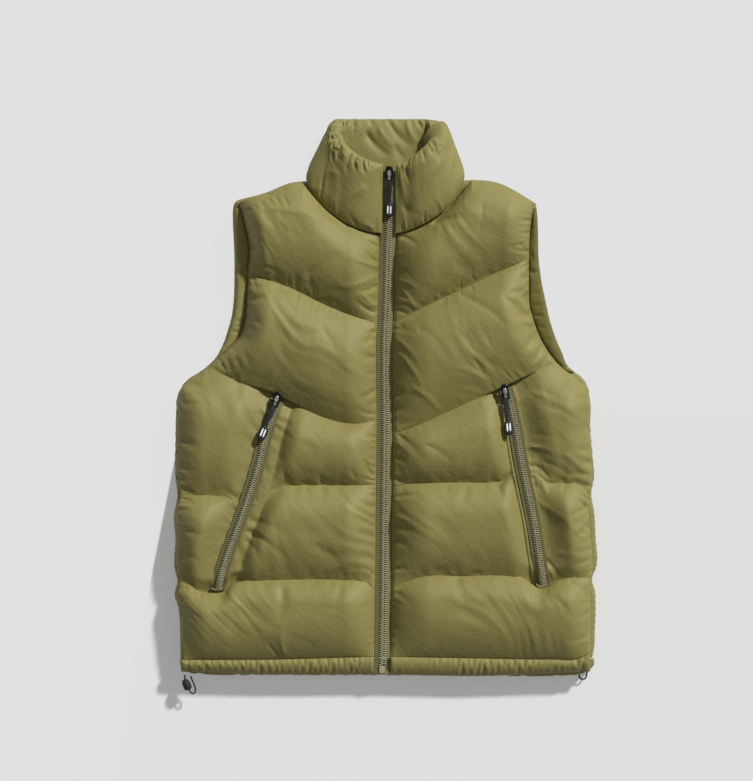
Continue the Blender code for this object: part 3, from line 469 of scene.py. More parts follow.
def creased(x, y, creases):
    """Height that creases add: ridges where rise is above 0, troughs where it is below; they start sharp."""
    total = np.zeros(np.broadcast(x, y).shape)
    for crease in creases:
        run_x, run_y = crease.end_x - crease.x, crease.end_y - crease.y
        length = math.hypot(run_x, run_y)
        share = ((x - crease.x) * run_x + (y - crease.y) * run_y) / length**2
        near = (share > 0) & (share < 1)
        inside = share[near]
        aside = ((x[near] - crease.x) * run_y - (y[near] - crease.y) * run_x) / length
        aside += CREASE_BOW * length * np.sin(inside * math.pi)
        taper = ease(inside * CREASE_START) * (1 - inside) ** CREASE_END
        width = crease.width * (CREASE_NARROW + CREASE_WIDENING * inside)
        away = np.sqrt((aside / width) ** 2 + CREASE_TIP**2) - CREASE_TIP
        total[near] += crease.rise * taper * np.exp(-CREASE_FALL * away)
    return total


FOLD_HEADING = math.radians(-52)
FOLD_LONG, FOLD_WIDE, FOLD_RISE = 48.0, 9.0, 0.75
FOLD_TURN, FOLD_TURN_SIZE = 0.35, 120.0
FOLD_BEND, FOLD_BEND_SIZE = 5.0, 45.0
FINE_FOLD_RISE, FINE_FOLD_WIDE = 0.35, 0.45
FOLD_SPREAD, FOLD_PATCHES, FOLD_PATCH_SIZE = 0.45, 0.9, 58.0


def drawn_folds(x, y, seed):
    """Height of long soft folds that all run about the same way, strong in patches and absent in others."""
    turn = FOLD_HEADING + FOLD_TURN * uneven(x, y, FOLD_TURN_SIZE, seed)
    lengthwise = (x * np.cos(turn) + y * np.sin(turn)) * (FOLD_WIDE / FOLD_LONG)
    across = -x * np.sin(turn) + y * np.cos(turn) + FOLD_BEND * uneven(x, y, FOLD_BEND_SIZE, seed + 1)
    broad = uneven(lengthwise, across, FOLD_WIDE, seed + 2)
    finer = uneven(lengthwise, across, FOLD_WIDE * FINE_FOLD_WIDE, seed + 3)
    share = np.clip(FOLD_SPREAD + FOLD_PATCHES * uneven(x, y, FOLD_PATCH_SIZE, seed + 4), 0, 1)
    return FOLD_RISE * share * (broad + FINE_FOLD_RISE * finer)


# Gathers: how much of its turn each one passes on, and how often one is a trough or a ridge.
TURN_KEPT = 0.5
LOOK_AHEAD = 2
TROUGHS_AND_RIDGES = (0.7, 0.3)


def gathers(
    line, inwards, seed, gap=(7, 17), length=(9, 34), rise=(0.6, 2.0), width=(2.0, 3.6), lean=0.6, bias=0.0
):
    """Random short creases that start on a line and run to the side that inwards points to."""
    rng = np.random.default_rng(seed)
    reach = run_length(line)
    at, found, turn = rng.uniform(*gap), [], 0.0
    while at < reach[-1]:
        turn = TURN_KEPT * turn + rng.uniform(-lean, lean)
        x, y = (np.interp(at, reach, line[:, axis]) for axis in (0, 1))
        ahead_x, ahead_y = (np.interp(at + LOOK_AHEAD, reach, line[:, axis]) for axis in (0, 1))
        heading = math.atan2(ahead_y - y, ahead_x - x) + inwards * (math.pi / 2) + turn + bias
        long = length[0] + (length[1] - length[0]) * rng.uniform() ** 2
        found.append(Crease(
            x, y, x + long * math.cos(heading), y + long * math.sin(heading),
            rng.uniform(*width), rng.uniform(*rise) * rng.choice([-1, 1], p=TROUGHS_AND_RIDGES),
        ))
        at += rng.uniform(*gap)
    return found


# Edges and seams of the fronts, as functions of one side.


def zip_out(side, y):
    """Where a front's cloth starts beside the main zip."""
    return side.sign * hermite(ZIP_LINE, y) + ZIP_HALF_CHANNEL


def edge_out(side, y):
    """Where a front ends at its side seam or armhole."""
    return hermite(FRONT_EDGE[side.name], y)


def seam_curve(side, name):
    """A seam from the zip edge to the outer edge, as a function of the share of its width."""
    rows = [list(row) for row in SEAMS[side.name][name]]
    rows[0][0] = float(zip_out(side, rows[0][1]))
    rows[-1][0] = float(edge_out(side, rows[-1][1]))
    first, last = rows[0][0], rows[-1][0]

    def read(u):
        out = first + (last - first) * np.asarray(u, float)
        return np.stack([out, hermite(rows, out)], axis=-1)

    return read


def top_curve(side):
    """The neckline and the shoulder, which meet at the neck point at NECK_SHARE."""
    neck = [list(row) for row in NECKLINE[side.name]]
    neck[0][0] = float(zip_out(side, neck[0][1]))
    tip = [list(row) for row in SHOULDER[side.name]]
    tip[-1][0] = float(edge_out(side, tip[-1][1]))

    def read(u):
        u = np.asarray(u, float)[..., None]
        on_neck = along(neck, np.clip(u[..., 0] / NECK_SHARE, 0, 1))
        on_shoulder = along(tip, np.clip((u[..., 0] - NECK_SHARE) / (1 - NECK_SHARE), 0, 1))
        return np.where(u <= NECK_SHARE, on_neck, on_shoulder)

    return read


def patch(low, high, inner_out, outer_out, u, t):
    """Points between two seams and the two edges that join them, at shares u across and t up."""
    u, t = np.broadcast_arrays(u, t)
    low_in, low_out, high_in, high_out = low(0.0), low(1.0), high(0.0), high(1.0)
    y_in = low_in[1] + (high_in[1] - low_in[1]) * t
    y_out = low_out[1] + (high_out[1] - low_out[1]) * t
    inner = np.stack([inner_out(y_in), y_in], axis=-1)
    outer = np.stack([outer_out(y_out), y_out], axis=-1)
    u, t = u[..., None], t[..., None]
    corners = (1 - u) * ((1 - t) * low_in + t * high_in) + u * ((1 - t) * low_out + t * high_out)
    return (1 - t) * low(u[..., 0]) + t * high(u[..., 0]) + (1 - u) * inner + u * outer - corners


def front_patch(side, low, high, u, t):
    """Points of a front between two of its seams."""
    return patch(low, high, lambda y: zip_out(side, y), lambda y: edge_out(side, y), u, t)


HALVINGS = 30


def share_at_pocket(side, low, high, t, offset):
    """The share across at which a row of a patch meets the pocket's line, moved outwards by offset."""
    below, above = np.zeros_like(t), np.ones_like(t)
    for _ in range(HALVINGS):
        middle = (below + above) / 2
        point = front_patch(side, low, high, middle, t)
        short = point[..., 0] < hermite(POCKET_LINE[side.name], point[..., 1]) + offset
        below, above = np.where(short, middle, below), np.where(short, above, middle)
    return (below + above) / 2


BAND_ROWS = (48, 56, 54, 60, 66)
SEAM_ROWS = np.cumsum((0,) + BAND_ROWS)
POCKET_ROWS = SEAM_ROWS[1], SEAM_ROWS[3]
POCKET_BANDS = (1, 2)
CORNER_ROUNDS = 120
CORNER_FADES = (4, 7)
INNER_COLUMNS = 62
OUTER_COLUMNS = 44
CHANNEL_OFFSETS = np.array([-10.5, -9.6, -7.0, -3.5, 0.0, 3.5, 7.0, 9.6, 10.5])
PLAIN_CHANNEL_WIDE = 0.08
PLAIN_CHANNEL = np.linspace(NECK_SHARE, NECK_SHARE + PLAIN_CHANNEL_WIDE, len(CHANNEL_OFFSETS))


def columns(anchors):
    """Shares across for every column, from those of the channel's columns."""
    inner = spread(INNER_COLUMNS)[:-1] * anchors[0]
    outer = anchors[-1] + spread(OUTER_COLUMNS)[1:] * (1 - anchors[-1])
    return np.concatenate([inner, anchors, outer])


def channel_anchors(side, curves, band, rows):
    """Shares across of the pocket channel's columns in one band: even ones away from the pocket."""
    if band in POCKET_BANDS:
        low, high = curves[band], curves[band + 1]
        return np.stack([share_at_pocket(side, low, high, rows, o) for o in CHANNEL_OFFSETS], axis=1)
    if band == POCKET_BANDS[0] - 1:
        low, high, end, fade = curves[1], curves[2], np.zeros(1), rows
    elif band == POCKET_BANDS[-1] + 1:
        low, high, end, fade = curves[2], curves[3], np.ones(1), 1 - rows
    else:
        return np.repeat(PLAIN_CHANNEL[None, :], len(rows), axis=0)
    near = np.array([float(share_at_pocket(side, low, high, end, o)[0]) for o in CHANNEL_OFFSETS])
    return PLAIN_CHANNEL + fade[:, None] * (near - PLAIN_CHANNEL)


def front_grid(side):
    """A front's grid: plan points, padding height, band number and share up its band."""
    curves = [seam_curve(side, name) for name in SEAM_NAMES] + [top_curve(side)]
    found = []
    for band, (low, high, rise) in enumerate(zip(curves, curves[1:], BAFFLE_HEIGHTS)):
        rows = spread(BAND_ROWS[band])
        across = np.stack([columns(row) for row in channel_anchors(side, curves, band, rows)])
        at = front_patch(side, low, high, across, rows[:, None])
        if band == len(BAFFLE_HEIGHTS) - 1:
            at = rounded_rows(at, rows)
        height = padding_height(side, at, rows, band, rise)
        shares = np.repeat(rows[:, None], at.shape[1], axis=1)
        keep = slice(min(band, 1), None)
        found.append([part[keep] for part in (at, height, np.full(at.shape[:2], band), shares)])
    return tuple(np.concatenate(parts) for parts in zip(*found))


def rounded_rows(at, rows):
    """Rows of a patch without the corner that its top edge has, which stays on the edge itself."""
    smooth = at.copy()
    for _ in range(CORNER_ROUNDS):
        smooth[:, 1:-1] = (smooth[:, :-2] + 2 * smooth[:, 1:-1] + smooth[:, 2:]) / 4
    share = (ease(rows * CORNER_FADES[0]) * ease((1 - rows) * CORNER_FADES[1]))[:, None, None]
    return at + (smooth - at) * share


LOFT_RISE, LOFT_SIZE = 0.06, 46.0
WIDE_LOFT_RISE, WIDE_LOFT_SIZE = 0.05, 90.0
EDGE_STRIP = 5.0
CHANNEL_POWER, CHANNEL_ENDS, WELT_POWER = 2.2, 6, 3.0
LOFT_SEED, WIDE_LOFT_SEED = 11, 5


def padding_height(side, at, rows, band, rise):
    """Height of the padding above a front's inner plane, in one band."""
    edge, out, y = at[:, -1], at[..., 0], at[..., 1]
    from_edge = np.min(np.linalg.norm(at[:, :, None, :] - edge[None, None, :, :], axis=-1), axis=-1)
    from_zip = out - zip_out(side, y)
    sides = slope_off(from_zip, ZIP_ROLL[side.name]) * slope_off(from_edge, EDGE_ROLL[side.name][band])
    loft = 1 + LOFT_RISE * uneven(out, y, LOFT_SIZE, LOFT_SEED + band)
    loft += WIDE_LOFT_RISE * uneven(out, y, WIDE_LOFT_SIZE, WIDE_LOFT_SEED)
    crest = lens(rows, BAFFLE_CRESTS[band])[:, None]
    seam = (QUILT_SEAMS[band] + (QUILT_SEAMS[band + 1] - QUILT_SEAMS[band]) * rows)[:, None]
    height = STITCHED + sides * (seam - STITCHED + (rise - seam) * crest * loft)
    height -= (STITCHED - SIDE_SEAM) * (1 - ease(from_edge / EDGE_STRIP))
    height -= ZIP_SEAM_DROP * (1 - ease(from_zip / EDGE_STRIP))
    if band not in POCKET_BANDS:
        return height
    inwards = hermite(POCKET_LINE[side.name], y) - out
    welt = POCKET_WELT[side.name]
    inner = (inwards - POCKET_HALF_CHANNEL - welt) / CHANNEL_ROLL["inner"]
    outer = (-inwards - POCKET_HALF_CHANNEL) / CHANNEL_ROLL["outer"]
    nearness = 1 - np.where(inwards > 0, roll(inner, 1) ** CHANNEL_POWER, ease(outer))
    end = ease((rows if band == POCKET_BANDS[0] else 1 - rows) * CHANNEL_ENDS)
    up_pocket = (rows + POCKET_BANDS.index(band)) / len(POCKET_BANDS)
    rest = STITCHED + (CHANNEL_REST - STITCHED) * end + CHANNEL_RISE * arch(up_pocket)
    on_welt = arch(np.clip((inwards - POCKET_HALF_CHANNEL) / welt, 0, 1), WELT_POWER)
    raised = WELT_RISE[side.name] * on_welt * (inwards > POCKET_HALF_CHANNEL) * end[:, None]
    return height * (1 - nearness) + (rest[:, None] + raised) * nearness


# Making objects.


def to_frame(points):
    """Table millimetres to metres in the frame."""
    return (np.asarray(points, float) + np.array([0.0, TABLE_Y, 0.0])) * MM


SHARP_CLOTH, SHARP_ROUND = 60, 70  # degrees between faces from which an edge looks sharp
SHARP_HARD, SHARP_SMALL, SHARP_SLIDER = 40, 50, 35


def in_scene(name, data):
    """A new object that shows some data."""
    made = bpy.data.objects.new(name, data)
    bpy.context.scene.collection.objects.link(made)
    return made


def new_object(name, verts, faces, material, sharp=None):
    """A mesh object in the scene, smooth but for edges sharper than an angle."""
    mesh = bpy.data.meshes.new(name)
    mesh.from_pydata(verts, [], faces)
    mesh.validate()
    mesh.shade_smooth()
    if sharp is not None:
        mesh.set_sharp_from_angle(angle=math.radians(sharp))
    mesh.materials.append(material)
    return in_scene(name, mesh)


def grid_faces(rows, cols, start=0, flip=False):
    """Quads of a grid whose first vertex is start."""
    index = np.arange(rows * cols).reshape(rows, cols) + start
    quads = np.stack([index[:-1, :-1], index[:-1, 1:], index[1:, 1:], index[1:, :-1]], axis=-1).reshape(-1, 4)
    return [tuple(q) for q in (quads[:, ::-1] if flip else quads).tolist()]


def grid_rim(rows, cols):
    """Indices round a grid, in order."""
    index = np.arange(rows * cols).reshape(rows, cols)
    return np.concatenate([index[0], index[1:-1, -1], index[-1, ::-1], index[-2:0:-1, 0]]).tolist()


def outwards(obj):
    """Turns all faces of a closed mesh to point out."""
    bm = bmesh.new()
    bm.from_mesh(obj.data)
    bmesh.ops.recalc_face_normals(bm, faces=bm.faces[:])
    bm.to_mesh(obj.data)
    bm.free()
    return obj


def backed_panel(name, top, low_z, material):
    """Closed panel from a grid of points down to a plane."""
    rows, cols = top.shape[:2]
    rim = grid_rim(rows, cols)
    flat = top.reshape(-1, 3)
    low = flat[rim].copy()
    low[:, 2] = low_z
    verts = to_frame(np.concatenate([flat, low]))
    under = list(range(rows * cols, rows * cols + len(rim)))
    faces = grid_faces(rows, cols)
    for i, one in enumerate(rim):
        j = (i + 1) % len(rim)
        faces.append((one, under[i], under[j], rim[j]))
    faces.append(tuple(under[::-1]))
    return outwards(new_object(name, verts, faces, material, SHARP_CLOTH))


def ring_faces(count, sides, start=0):
    """Faces of a closed loft of rings, with its two ends."""
    faces = []
    for ring in range(start, start + (count - 1) * sides, sides):
        for i in range(sides):
            j = (i + 1) % sides
            faces.append((ring + i, ring + j, ring + sides + j, ring + sides + i))
    faces.append(tuple(start + i for i in range(sides))[::-1])
    faces.append(tuple(start + (count - 1) * sides + i for i in range(sides)))
    return faces


def loft(name, rings, material, matrix=None, sharp=SHARP_HARD):
    """Closed body through rings of points; rings are in millimetres, in the frame that matrix gives."""
    rings = np.asarray(rings, float)
    verts = rings.reshape(-1, 3)
    if matrix is not None:
        verts = np.array([matrix @ Vector(v) for v in verts])
    return outwards(new_object(name, to_frame(verts), ring_faces(*rings.shape[:2]), material, sharp))


def repeated(name, rings, places, material):
    """Many copies of one small loft, joined: places gives each one's origin and its three axes."""
    rings = np.asarray(rings, float)
    shape = rings.reshape(-1, 3)
    verts, faces = [], []
    for origin, axes in places:
        faces += ring_faces(*rings.shape[:2], start=len(shape) * len(verts))
        verts.append(np.asarray(origin) + shape @ np.asarray(axes))
    return outwards(new_object(name, to_frame(np.concatenate(verts)), faces, material, SHARP_SMALL))


def joined(parts, name):
    """One mesh from several, each with its own finish."""
    bpy.ops.object.select_all(action="DESELECT")
    for part in parts:
        part.select_set(True)
    bpy.context.view_layer.objects.active = parts[0]
    bpy.ops.object.join()
    parts[0].name = name
    return parts[0]


def superellipse(half_wide, half_long, count=28, power=2.6):
    """Points round an oval, squarer with a higher power."""
    across, up = box_turn(count, 2 / power, 2 / power)
    return np.column_stack([half_wide * across, half_long * up])


PEBBLE_EDGE = 0.87
BAR_SQUARE, BAR_TAPER = 0.7, 1.6


def pebble(half_wide, half_long, half_thick, centre=(0, 0, 0), power=2.6, levels=7):
    """Rings of a plate with a superellipse as its plan and a round edge."""
    rings = []
    for turn in np.linspace(-math.pi / 2, math.pi / 2, levels):
        inset = half_thick * PEBBLE_EDGE * (1 - math.cos(turn))
        plan = superellipse(half_wide - inset, half_long - inset, power=power)
        level = np.full(len(plan), half_thick * math.sin(turn))
        rings.append(np.column_stack([plan, level]) + np.array(centre))
    return np.array(rings)


def bar_rings(points, half_wide, half_thick, sides=10):
    """Rings of a flat bar along +-Y points, given as (y, width share)."""
    across, up = box_turn(sides, BAR_SQUARE, BAR_SQUARE)
    return np.array([
        np.column_stack([
            half_wide * share * across, np.full(sides, y), half_thick * min(1, share * BAR_TAPER) * up,
        ])
        for y, share in points
    ])


def dress(obj, replaced, body=GARMENT):
    """Says what a piece stands for, by hiding the parts it replaces, and what it rides on."""
    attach(obj, body)
    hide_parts(*replaced)
    return obj


# Materials.


def plug(tree, made, inputs):
    """Gives a node's inputs values, or other nodes' sockets."""
    for name, value in inputs.items():
        if isinstance(value, bpy.types.NodeSocket):
            tree.links.new(value, made.inputs[name])
        else:
            made.inputs[name].default_value = value


def node(tree, kind, inputs=None, **settings):
    """A node with its settings and inputs."""
    made = tree.nodes.new(kind)
    for name, value in settings.items():
        setattr(made, name, value)
    plug(tree, made, inputs or {})
    return made


def noise(tree, place, scale, detail=2.0, distortion=0.0):
    """A socket with noise, at a scale in 1/m."""
    inputs = {"Vector": place, "Scale": scale, "Detail": detail, "Distortion": distortion}
    return node(tree, "ShaderNodeTexNoise", inputs).outputs["Fac"]


def wave(tree, place, scale, direction, distortion=0.0):
    """A socket with bands across one direction, at a scale in 1/m."""
    inputs = {"Vector": place, "Scale": scale, "Distortion": distortion}
    return node(tree, "ShaderNodeTexWave", inputs, bands_direction=direction).outputs["Fac"]


def start_material(name, roughness, metallic=0.0):
    """A material, its nodes, its shader, and the place on the object."""
    made = bpy.data.materials.new(name)
    made.use_nodes = True
    tree = made.node_tree
    shader = tree.nodes["Principled BSDF"]
    plug(tree, shader, {"Roughness": roughness, "Metallic": metallic})
    return made, tree, shader, node(tree, "ShaderNodeTexCoord").outputs["Object"]


def tinted(tree, shader, factor, low, high):
    """Colours a shader between two colours."""
    inputs = {"Factor": factor, "A": (*low, 1), "B": (*high, 1)}
    mixed = node(tree, "ShaderNodeMix", inputs, data_type="RGBA")
    plug(tree, shader, {"Base Color": mixed.outputs["Result"]})


def bumped(tree, shader, layers):
    """Chains bumps, given as (height socket, strength, distance in metres)."""
    below = {}
    for height, strength, distance in layers:
        inputs = {"Height": height, "Strength": strength, "Distance": distance, **below}
        below = {"Normal": node(tree, "ShaderNodeBump", inputs).outputs["Normal"]}
    plug(tree, shader, below)


NYLON_LOW = (0.202, 0.176, 0.0485)
NYLON_HIGH = (0.232, 0.205, 0.0625)
STREAK_SCALE = (3.2, 1.0, 1.0)


def nylon(name, painted_light_scale=1.0, gloss=0.38):
    """Matt down-proof nylon: a fine plain weave, soft crinkles and a low sheen. A colour scale other than 1
    lightens or darkens it as painted light or painted shade.
    """
    made, tree, shader, place = start_material(name, 0.62)
    low, high = (tuple(part * painted_light_scale for part in colour) for colour in (NYLON_LOW, NYLON_HIGH))
    tinted(tree, shader, noise(tree, place, 14.0, 3.0), low, high)
    plug(tree, shader, {
        "Sheen Weight": 0.05, "Sheen Roughness": 0.45, "Sheen Tint": (0.80, 0.76, 0.50, 1),
        "Specular IOR Level": gloss,
    })
    turned = node(
        tree, "ShaderNodeMapping", {"Vector": place, "Rotation": (0, 0, FOLD_HEADING), "Scale": STREAK_SCALE},
        vector_type="TEXTURE",
    ).outputs["Vector"]
    yarns = {number: wave(tree, place, 480.0, axis) for number, axis in enumerate("XY")}
    weave = node(tree, "ShaderNodeMath", yarns, operation="MAXIMUM").outputs[0]
    bumped(tree, shader, [
        (weave, 0.25, 0.00008),
        (noise(tree, place, 170.0, 4.0, 0.25), 0.5, 0.0009),
        (noise(tree, turned, 170.0, 4.0, 1.2), 0.5, 0.0009),
    ])
    return made


def tape_cloth(name, low, high):
    """Woven zip tape with a herringbone of fine ribs along it."""
    made, tree, shader, place = start_material(name, 0.78)
    ribs = {0: wave(tree, place, 300.0, "X", 1.5), 1: wave(tree, place, 420.0, "Y", 1.0)}
    both = node(tree, "ShaderNodeMath", ribs, operation="MULTIPLY").outputs[0]
    tinted(tree, shader, both, low, high)
    bumped(tree, shader, [(both, 0.6, 0.00025)])
    return made


def moulded(name, low, high, roughness, metallic=0.0):
    """Plastic or coated metal with a fine grain and slightly uneven colour."""
    made, tree, shader, place = start_material(name, roughness, metallic)
    tinted(tree, shader, noise(tree, place, 60.0), low, high)
    bumped(tree, shader, [(noise(tree, place, 900.0), 0.5, 0.00004)])
    return made


def braided(name, low, high):
    """Braided cord: crossing strands round its length."""
    made, tree, shader, place = start_material(name, 0.8)
    strand = node(tree, "ShaderNodeTexVoronoi", {"Vector": place, "Scale": 1400.0}).outputs["Distance"]
    tinted(tree, shader, strand, low, high)
    bumped(tree, shader, [(strand, 0.8, 0.0003)])
    return made


MATERIALS = {
    "shell": nylon("shell_nylon"),
    # The facings are lit and shaded copies of the shell nylon: the right one lightened where the front's edge
    # shades it (painted light), the left one darkened where it faces the light (painted shade).
    "facing_right": nylon("facing_nylon_right_painted_light", 1.05),
    "facing_left": nylon("facing_nylon_left_painted_shade", 0.60, 0.08),
    "tape": tape_cloth("zip_tape_cloth", (0.10, 0.088, 0.028), (0.19, 0.17, 0.058)),
    # A paler copy of the zip tape for the left tape, which faces the light: painted light.
    "painted_light_tape": tape_cloth("zip_tape_cloth_painted_light", (0.17, 0.155, 0.060), (0.28, 0.255, 0.105)),
    "teeth": moulded("zip_teeth_nylon", (0.26, 0.245, 0.14), (0.36, 0.345, 0.21), 0.42),
    "thread": moulded("sewing_thread", (0.20, 0.185, 0.075), (0.30, 0.28, 0.13), 0.6),
    "metal": moulded("black_slider_metal", (0.012, 0.012, 0.013), (0.03, 0.03, 0.032), 0.3, 0.85),
    "steel": moulded("bright_slider_metal", (0.55, 0.55, 0.57), (0.75, 0.75, 0.78), 0.25, 1.0),
    "grip": moulded("black_grip_rubber", (0.005, 0.005, 0.006), (0.012, 0.012, 0.013), 0.65),
    "white": moulded("white_grip_bar", (0.75, 0.76, 0.78), (0.88, 0.88, 0.9), 0.4),
    "cord": braided("hem_cord_braid", (0.006, 0.006, 0.006), (0.03, 0.03, 0.03)),
}


# Fronts.

CREASES = {
    "right": tuple(Crease(*row) for row in (  # x, y, end x, end y, half width, rise
        (-14, -166, -69, -121, 4.0, -2.8), (-17, -151, -52, -121, 3.0, -2.0),
        (-19, -163, -59, -144, 4.0, 2.0), (-12, -176, -46, -152, 3.0, -1.8),
        (-14, -190, -40, -178, 3.0, -1.4), (-190, -178, -166, -201, 3.5, -2.4),
        (-187, -178, -126, -226, 5.0, -2.8), (-186, -172, -140, -208, 4.0, 1.8),
        (-184, -166, -131, -184, 4.0, -2.2), (-190, -190, -165, -225, 4.0, -2.2),
        (-82, -204, -62, -226, 4.0, -1.6), (-96, -196, -72, -228, 5.0, -1.6),
        (-138, -252, -147, -304, 9.0, -3.4), (-135, -352, -139, -300, 7.0, 2.6),
        (-231, -262, -196, -304, 5.0, -1.8), (-225, -258, -160, -340, 6.0, -1.8),
        (-141, -350, -161, -328, 4.0, -2.0), (-60, -250, -75, -290, 6.0, -1.4),
        (-14, -112, -41, -45, 5.0, -3.0), (-17, -57, -26, -37, 3.5, -2.0), (-15, -70, -32, -45, 3.0, 1.6),
        (-132, -113, -137, -92, 3.5, -2.0), (-38, -110, -48, -92, 3.5, -2.0),
        (-84, -119, -88, -100, 3.0, -1.4), (-272, -11, -236, -11, 3.5, -2.0),
        (-268, 18, -236, 6, 3.5, -2.0), (-274, -3, -246, -10, 3.0, 1.6), (-276, -60, -250, -70, 4.0, -1.6),
        (-278, -180, -246, -186, 4.0, -1.6), (-277, -210, -250, -222, 4.0, -1.6),
        (-178, 259, -169, 247, 2.2, -1.6), (-169, 263, -160, 251, 2.2, -1.6),
        (-159, 267, -149, 254, 2.2, -1.7), (-150, 271, -141, 257, 2.4, -1.7),
        (-138, 270, -129, 252, 2.6, -1.8), (-168, 254, -48, 224, 10.0, 2.6),
        (-183, 181, -134, 161, 5.0, -1.2), (-110, 160, -62, 190, 8.0, -1.2),
        (-10, 203, -34, 220, 3.0, -2.2), (-10, 181, -26, 197, 2.6, -2.6), (-10, 176, -48, 190, 3.0, 2.2),
        (-10, 165, -62, 146, 4.5, 2.2), (-12, 150, -40, 140, 3.5, -1.8), (-12, 112, -44, 134, 5.0, -3.0),
        (-12, 122, -36, 144, 3.0, 1.8), (-13, 90, -32, 72, 2.6, -2.0), (-13, 96, -40, 86, 3.0, 1.6),
        (-184, 128, -160, 135, 4.5, -2.4), (-188, 111, -166, 95, 4.0, -1.8),
        (-213, 53, -208, 32, 3.0, -2.0), (-222, 46, -214, 30, 3.0, -1.8), (-202, 54, -195, 36, 3.0, -1.8),
        (-190, 60, -182, 38, 3.0, -1.8), (-12, 80, -34, 72, 3.0, -1.8), (-13, 10, -40, -4, 3.5, -1.6),
        (-16, -24, -40, -14, 3.5, -1.8), (-12, 52, -30, 60, 3.0, -1.4), (-90, 100, -60, 40, 10.0, -1.6),
    )),
    "left": tuple(Crease(*row) for row in (
        (13, -48, 53, -88, 4.5, -2.6), (14, -60, 36, -84, 3.5, 1.8), (50, -62, 94, -92, 5.0, -2.2),
        (10, -108, 26, -119, 3.0, -2.0), (9, -80, 30, -92, 3.0, -1.6), (190, 9, 275, -40, 4.0, 2.2),
        (205, -8, 275, -50, 4.5, -1.2), (216, -16, 277, -52, 4.0, 1.8), (190, -66, 236, -78, 3.5, 2.2),
        (196, -50, 242, -60, 5.0, -1.0), (236, -74, 276, -112, 4.0, 1.6), (210, -86, 254, -110, 4.0, -1.0),
        (198, -90, 222, -112, 4.0, -1.2), (10, -137, 52, -132, 4.0, -2.4), (10, -160, 45, -175, 4.0, 2.0),
        (9, -172, 38, -186, 3.5, -2.0), (9, -190, 34, -206, 3.5, -1.6), (210, -214, 234, -243, 3.0, -2.8),
        (206, -218, 228, -246, 3.0, 2.2), (224, -210, 274, -219, 3.0, 0.8),
        (204, -140, 278, -206, 5.0, 0.9), (110, -120, 96, -150, 6.0, -1.2),
        (150, -118, 160, -150, 5.0, -1.6), (212, -261, 232, -292, 4.0, -2.6),
        (220, -262, 252, -302, 4.5, -2.6), (198, -250, 226, -276, 4.0, 2.0),
        (180, -242, 212, -264, 4.0, -2.2), (243, -246, 276, -274, 3.5, -3.0),
        (250, -244, 280, -262, 3.0, 2.2), (90, -240, 110, -292, 8.0, -1.2), (10, -262, 40, -286, 4.0, -2.0),
        (276, -320, 240, -330, 5.0, -1.6), (60, 231, 106, 243, 4.0, -5.0), (62, 224, 92, 234, 4.0, 1.6),
        (13, 221, 46, 202, 4.0, -2.6), (14, 158, 44, 145, 2.4, 2.6), (14, 152, 42, 114, 2.4, 2.6),
        (13, 134, 46, 117, 2.6, 2.4), (13, 118, 30, 110, 2.6, -2.0), (130, 262, 120, 210, 8.0, -1.2),
        (196, 196, 160, 204, 5.0, -1.6), (192, 146, 152, 138, 4.0, -1.8), (168, 142, 200, 98, 4.0, 3.2),
        (156, 138, 193, 92, 4.5, -2.8), (193, 106, 228, 53, 4.0, 2.8), (184, 102, 214, 58, 4.5, -2.4),
        (186, 213, 197, 192, 3.0, 2.2), (178, 208, 194, 189, 3.0, -1.8), (96, 140, 172, 87, 7.0, -2.2),
        (117, 52, 134, 26, 4.5, -2.0), (135, 50, 151, 30, 4.5, -2.0), (12, 80, 46, 43, 2.6, 2.8),
        (13, 64, 52, 6, 2.4, 3.0), (42, 92, 66, 80, 4.0, -1.4), (35, 14, 74, -20, 2.8, 2.6),
        (12, 98, 42, 105, 3.0, 1.6), (10, 92, 40, 86, 3.0, -2.0), (220, 60, 206, 34, 3.0, -1.8),
        (210, 72, 196, 44, 3.0, -1.8), (200, 84, 186, 60, 3.0, -1.6),
    )),
}


SEAM_GATHERS = {"gap": (9, 34), "length": (6, 20), "rise": (0.3, 1.1), "width": (1.8, 3.2)}
SIDE_GATHERS = {  # at the zip, and at the side seam and armhole
    ("right", 0): {"gap": (8, 28), "length": (8, 28), "rise": (0.4, 1.5), "bias": 0.2},
    ("right", -1): {"gap": (8, 34), "length": (8, 30), "rise": (0.6, 1.8), "bias": -0.2},
    ("left", 0): {"gap": (9, 28), "length": (8, 30), "rise": (0.4, 1.4), "bias": -0.6},
    ("left", -1): {"gap": (8, 30), "length": (9, 40), "rise": (0.6, 2.2), "bias": 0.5},
}
SEAM_SEEDS, SIDE_SEED = (100, 200), 300
FOLD_SEED, PATCH_SEED, CLOTH_SEED = 400, 71, 40
CREASE_ENDS, FOLD_ENDS = 20, 4
BAND_TALL = 115
POCKET_REACH, POCKET_PUCKERS = 15.0, 0.5
HEM_HOLD, HEM_HOLD_FALL = 0.04, 6


def front_gathers(side, x, y):
    """Random short creases along a front's seams and its two sides."""
    found = []
    for band, row in enumerate(SEAM_ROWS):
        line = np.column_stack([x[row], y[row]])
        if band < len(SEAM_ROWS) - 1:
            found += gathers(line, -side.sign, SEAM_SEEDS[0] + band, **SEAM_GATHERS)
        if band > 0:
            found += gathers(line, side.sign, SEAM_SEEDS[1] + band, **SEAM_GATHERS)
    for number, column in enumerate((0, -1)):
        line = np.column_stack([x[:, column], y[:, column]])
        inwards = side.sign * (2 * number - 1)
        found += gathers(line, inwards, SIDE_SEED + number, **SIDE_GATHERS[side.name, column])
    return tuple(found)


